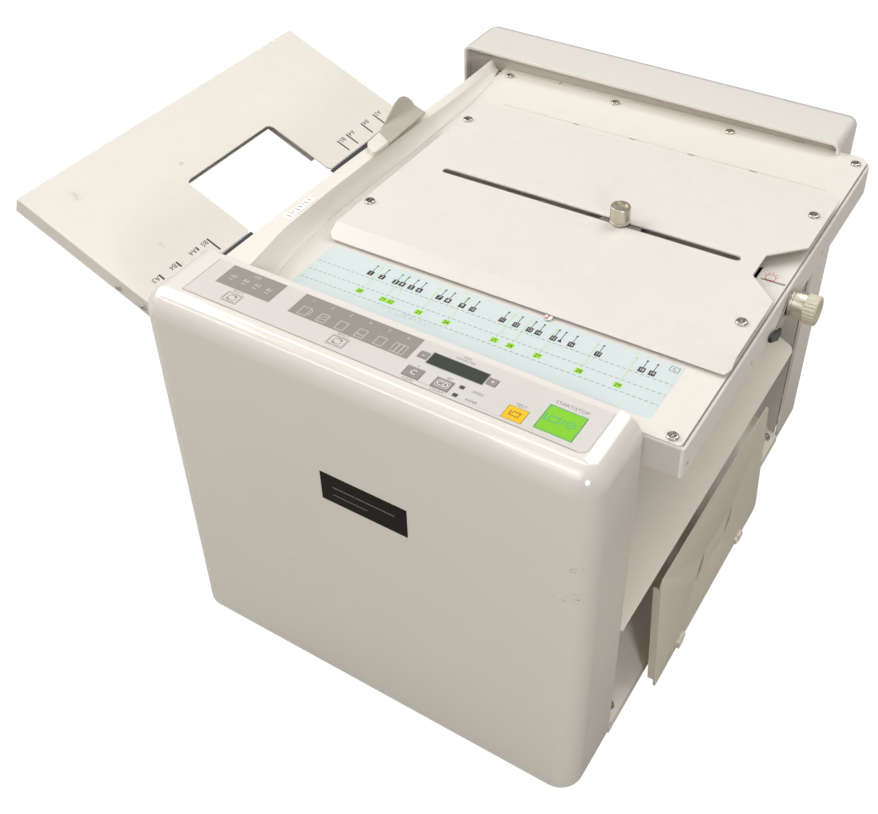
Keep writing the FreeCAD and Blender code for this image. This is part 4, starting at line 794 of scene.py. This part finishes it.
kp.box(293.6, 317.4, 23.4, 44.6, 0.25)
kp.done("start_stop_key_print", "ink_teal", "start_stop_key")
# display window: dark glass set in the cover
dw = Print(PANEL, 0.06)
dw.rect(209.2, 249.1, 38.6, 49.0)
dw.done("display_glass", "lcd_glass")
dw = Print(PANEL, 0.09)
dw.box(208.7, 249.6, 38.1, 49.5, 0.5)
dw.done("display_frame", "ink_grey")

# paper width marks on the feed tray
tm = Print(TRAY, 0.04)
for name, half in (("B5", 91.0), ("A4", 105.0), ("B4", 128.5), ("A3", 148.5)):
    for sgn in (-1, 1):
        y = 244.0 + sgn * half
        ln_ = 14.8 if sgn > 0 or name == "B5" else (4.0 if name == "A4" else 8.8)
        w_ = 0.85 if sgn < 0 else 0.80
        tm.rect(0.0, ln_, y - w_, y + w_)
        tm.text(name, 1.8, y + (5.6 if sgn > 0 else -5.4), 6.6, angle=-90)
tm.done("tray_marks", "ink_black")

# small scale label on the rim
rl = Print(Plane(P(0, 0, 323.6), (1, 0, 0), (0, 1, 0), (0, 0, 1)), 0.08)
rl.poly(rounded(33.0, 39.2, 121.0, 152.0, 0.6))
rl.done("rim_label", "ink_sticker")
rl = Print(Plane(P(0, 0, 323.6), (1, 0, 0), (0, 1, 0), (0, 0, 1)), 0.11)
for k, y in enumerate((123.5, 127.5, 130.0, 133.5, 137.5, 141.0, 144.0, 148.0)):
    rl.line(34.0, y, 38.0 - (k % 3) * 1.1, y + 0.6, 0.7)
rl.done("rim_label_marks", "ink_dark")

# generic badge: plain bars where a name would be
bd = Print(FRONT, 0.05)
bd.rect(156.0, 206.0, 218.2, 218.9)
bd.rect(156.0, 184.0, 211.0, 211.6)
bd.done("badge_lines", "ink_grey")

# red marks of the skew scale
sk = Print(TABLE, 0.04)
SX, SY = 356.5, 246.1
sk.path([(SX + 3.6 * math.cos(math.radians(15 * k)), SY + 3.6 * math.sin(math.radians(15 * k))) for k in range(24)], 0.5)
for a, l in ((-60, 1.6), (-30, 1.6), (0, 2.6), (30, 1.6), (60, 1.6)):
    ca, sa = math.cos(math.radians(a)), math.sin(math.radians(a))
    sk.line(SX + 4.4 * sa, SY + 4.4 * ca, SX + (4.4 + l) * sa, SY + (4.4 + l) * ca, 0.45)
sk.done("skew_scale", "ink_red")

sm_ = Print(TABLE, 0.03, -1.19)
sm_.rect(369.05, 369.75, 66.0, 424.0)
sm_.done("table_seam", "ink_grey")

# pointer of the first stopper: pale tab with a red line
pt = Print(TABLE, 0.5, 1.05)
pt.poly([(243.0, 129.2), (245.5, 127.6), (248.4, 129.2), (248.4, 142.5), (243.0, 142.5)])
pt.done("pointer_tab", "ink_white", "stopper_1")
pt = Print(TABLE, 0.6, 1.05)
pt.line(245.4, 142.5, 245.4, 128.6, 0.9)
pt.line(245.6, 128.6, 243.4, 129.9, 0.7)
pt.done("pointer_line", "ink_red", "stopper_1")

# ------------------------------------------------------------------ floor
fm, nt, b = principled("floor")
v = coords(nt)
c = mix(nt, ramp(nt, noise(nt, v, 3.0, 4.0), 0.3, 0.7), (0.50, 0.47, 0.42), (0.48, 0.45, 0.40))
nt.links.new(c, b.inputs["Base Color"])
b.inputs["Roughness"].default_value = 0.65
lp = node(nt, "ShaderNodeLightPath")
em = node(nt, "ShaderNodeEmission")
em.inputs["Strength"].default_value = 1.02
ms = node(nt, "ShaderNodeMixShader")
fo = [n for n in nt.nodes if n.type == "OUTPUT_MATERIAL"][0]
nt.links.new(lp.outputs["Is Camera Ray"], ms.inputs[0])
nt.links.new(b.outputs[0], ms.inputs[1])
nt.links.new(em.outputs[0], ms.inputs[2])
nt.links.new(ms.outputs[0], fo.inputs["Surface"])
bm = bmesh.new()
bmesh.ops.create_grid(bm, x_segments=1, y_segments=1, size=6.0)
me = finish_mesh(bm, "floor")
me.materials.append(fm)
floor = bpy.data.objects.new("floor", me)
scene.collection.objects.link(floor)
floor.location.z = CAD_BOX[0].z
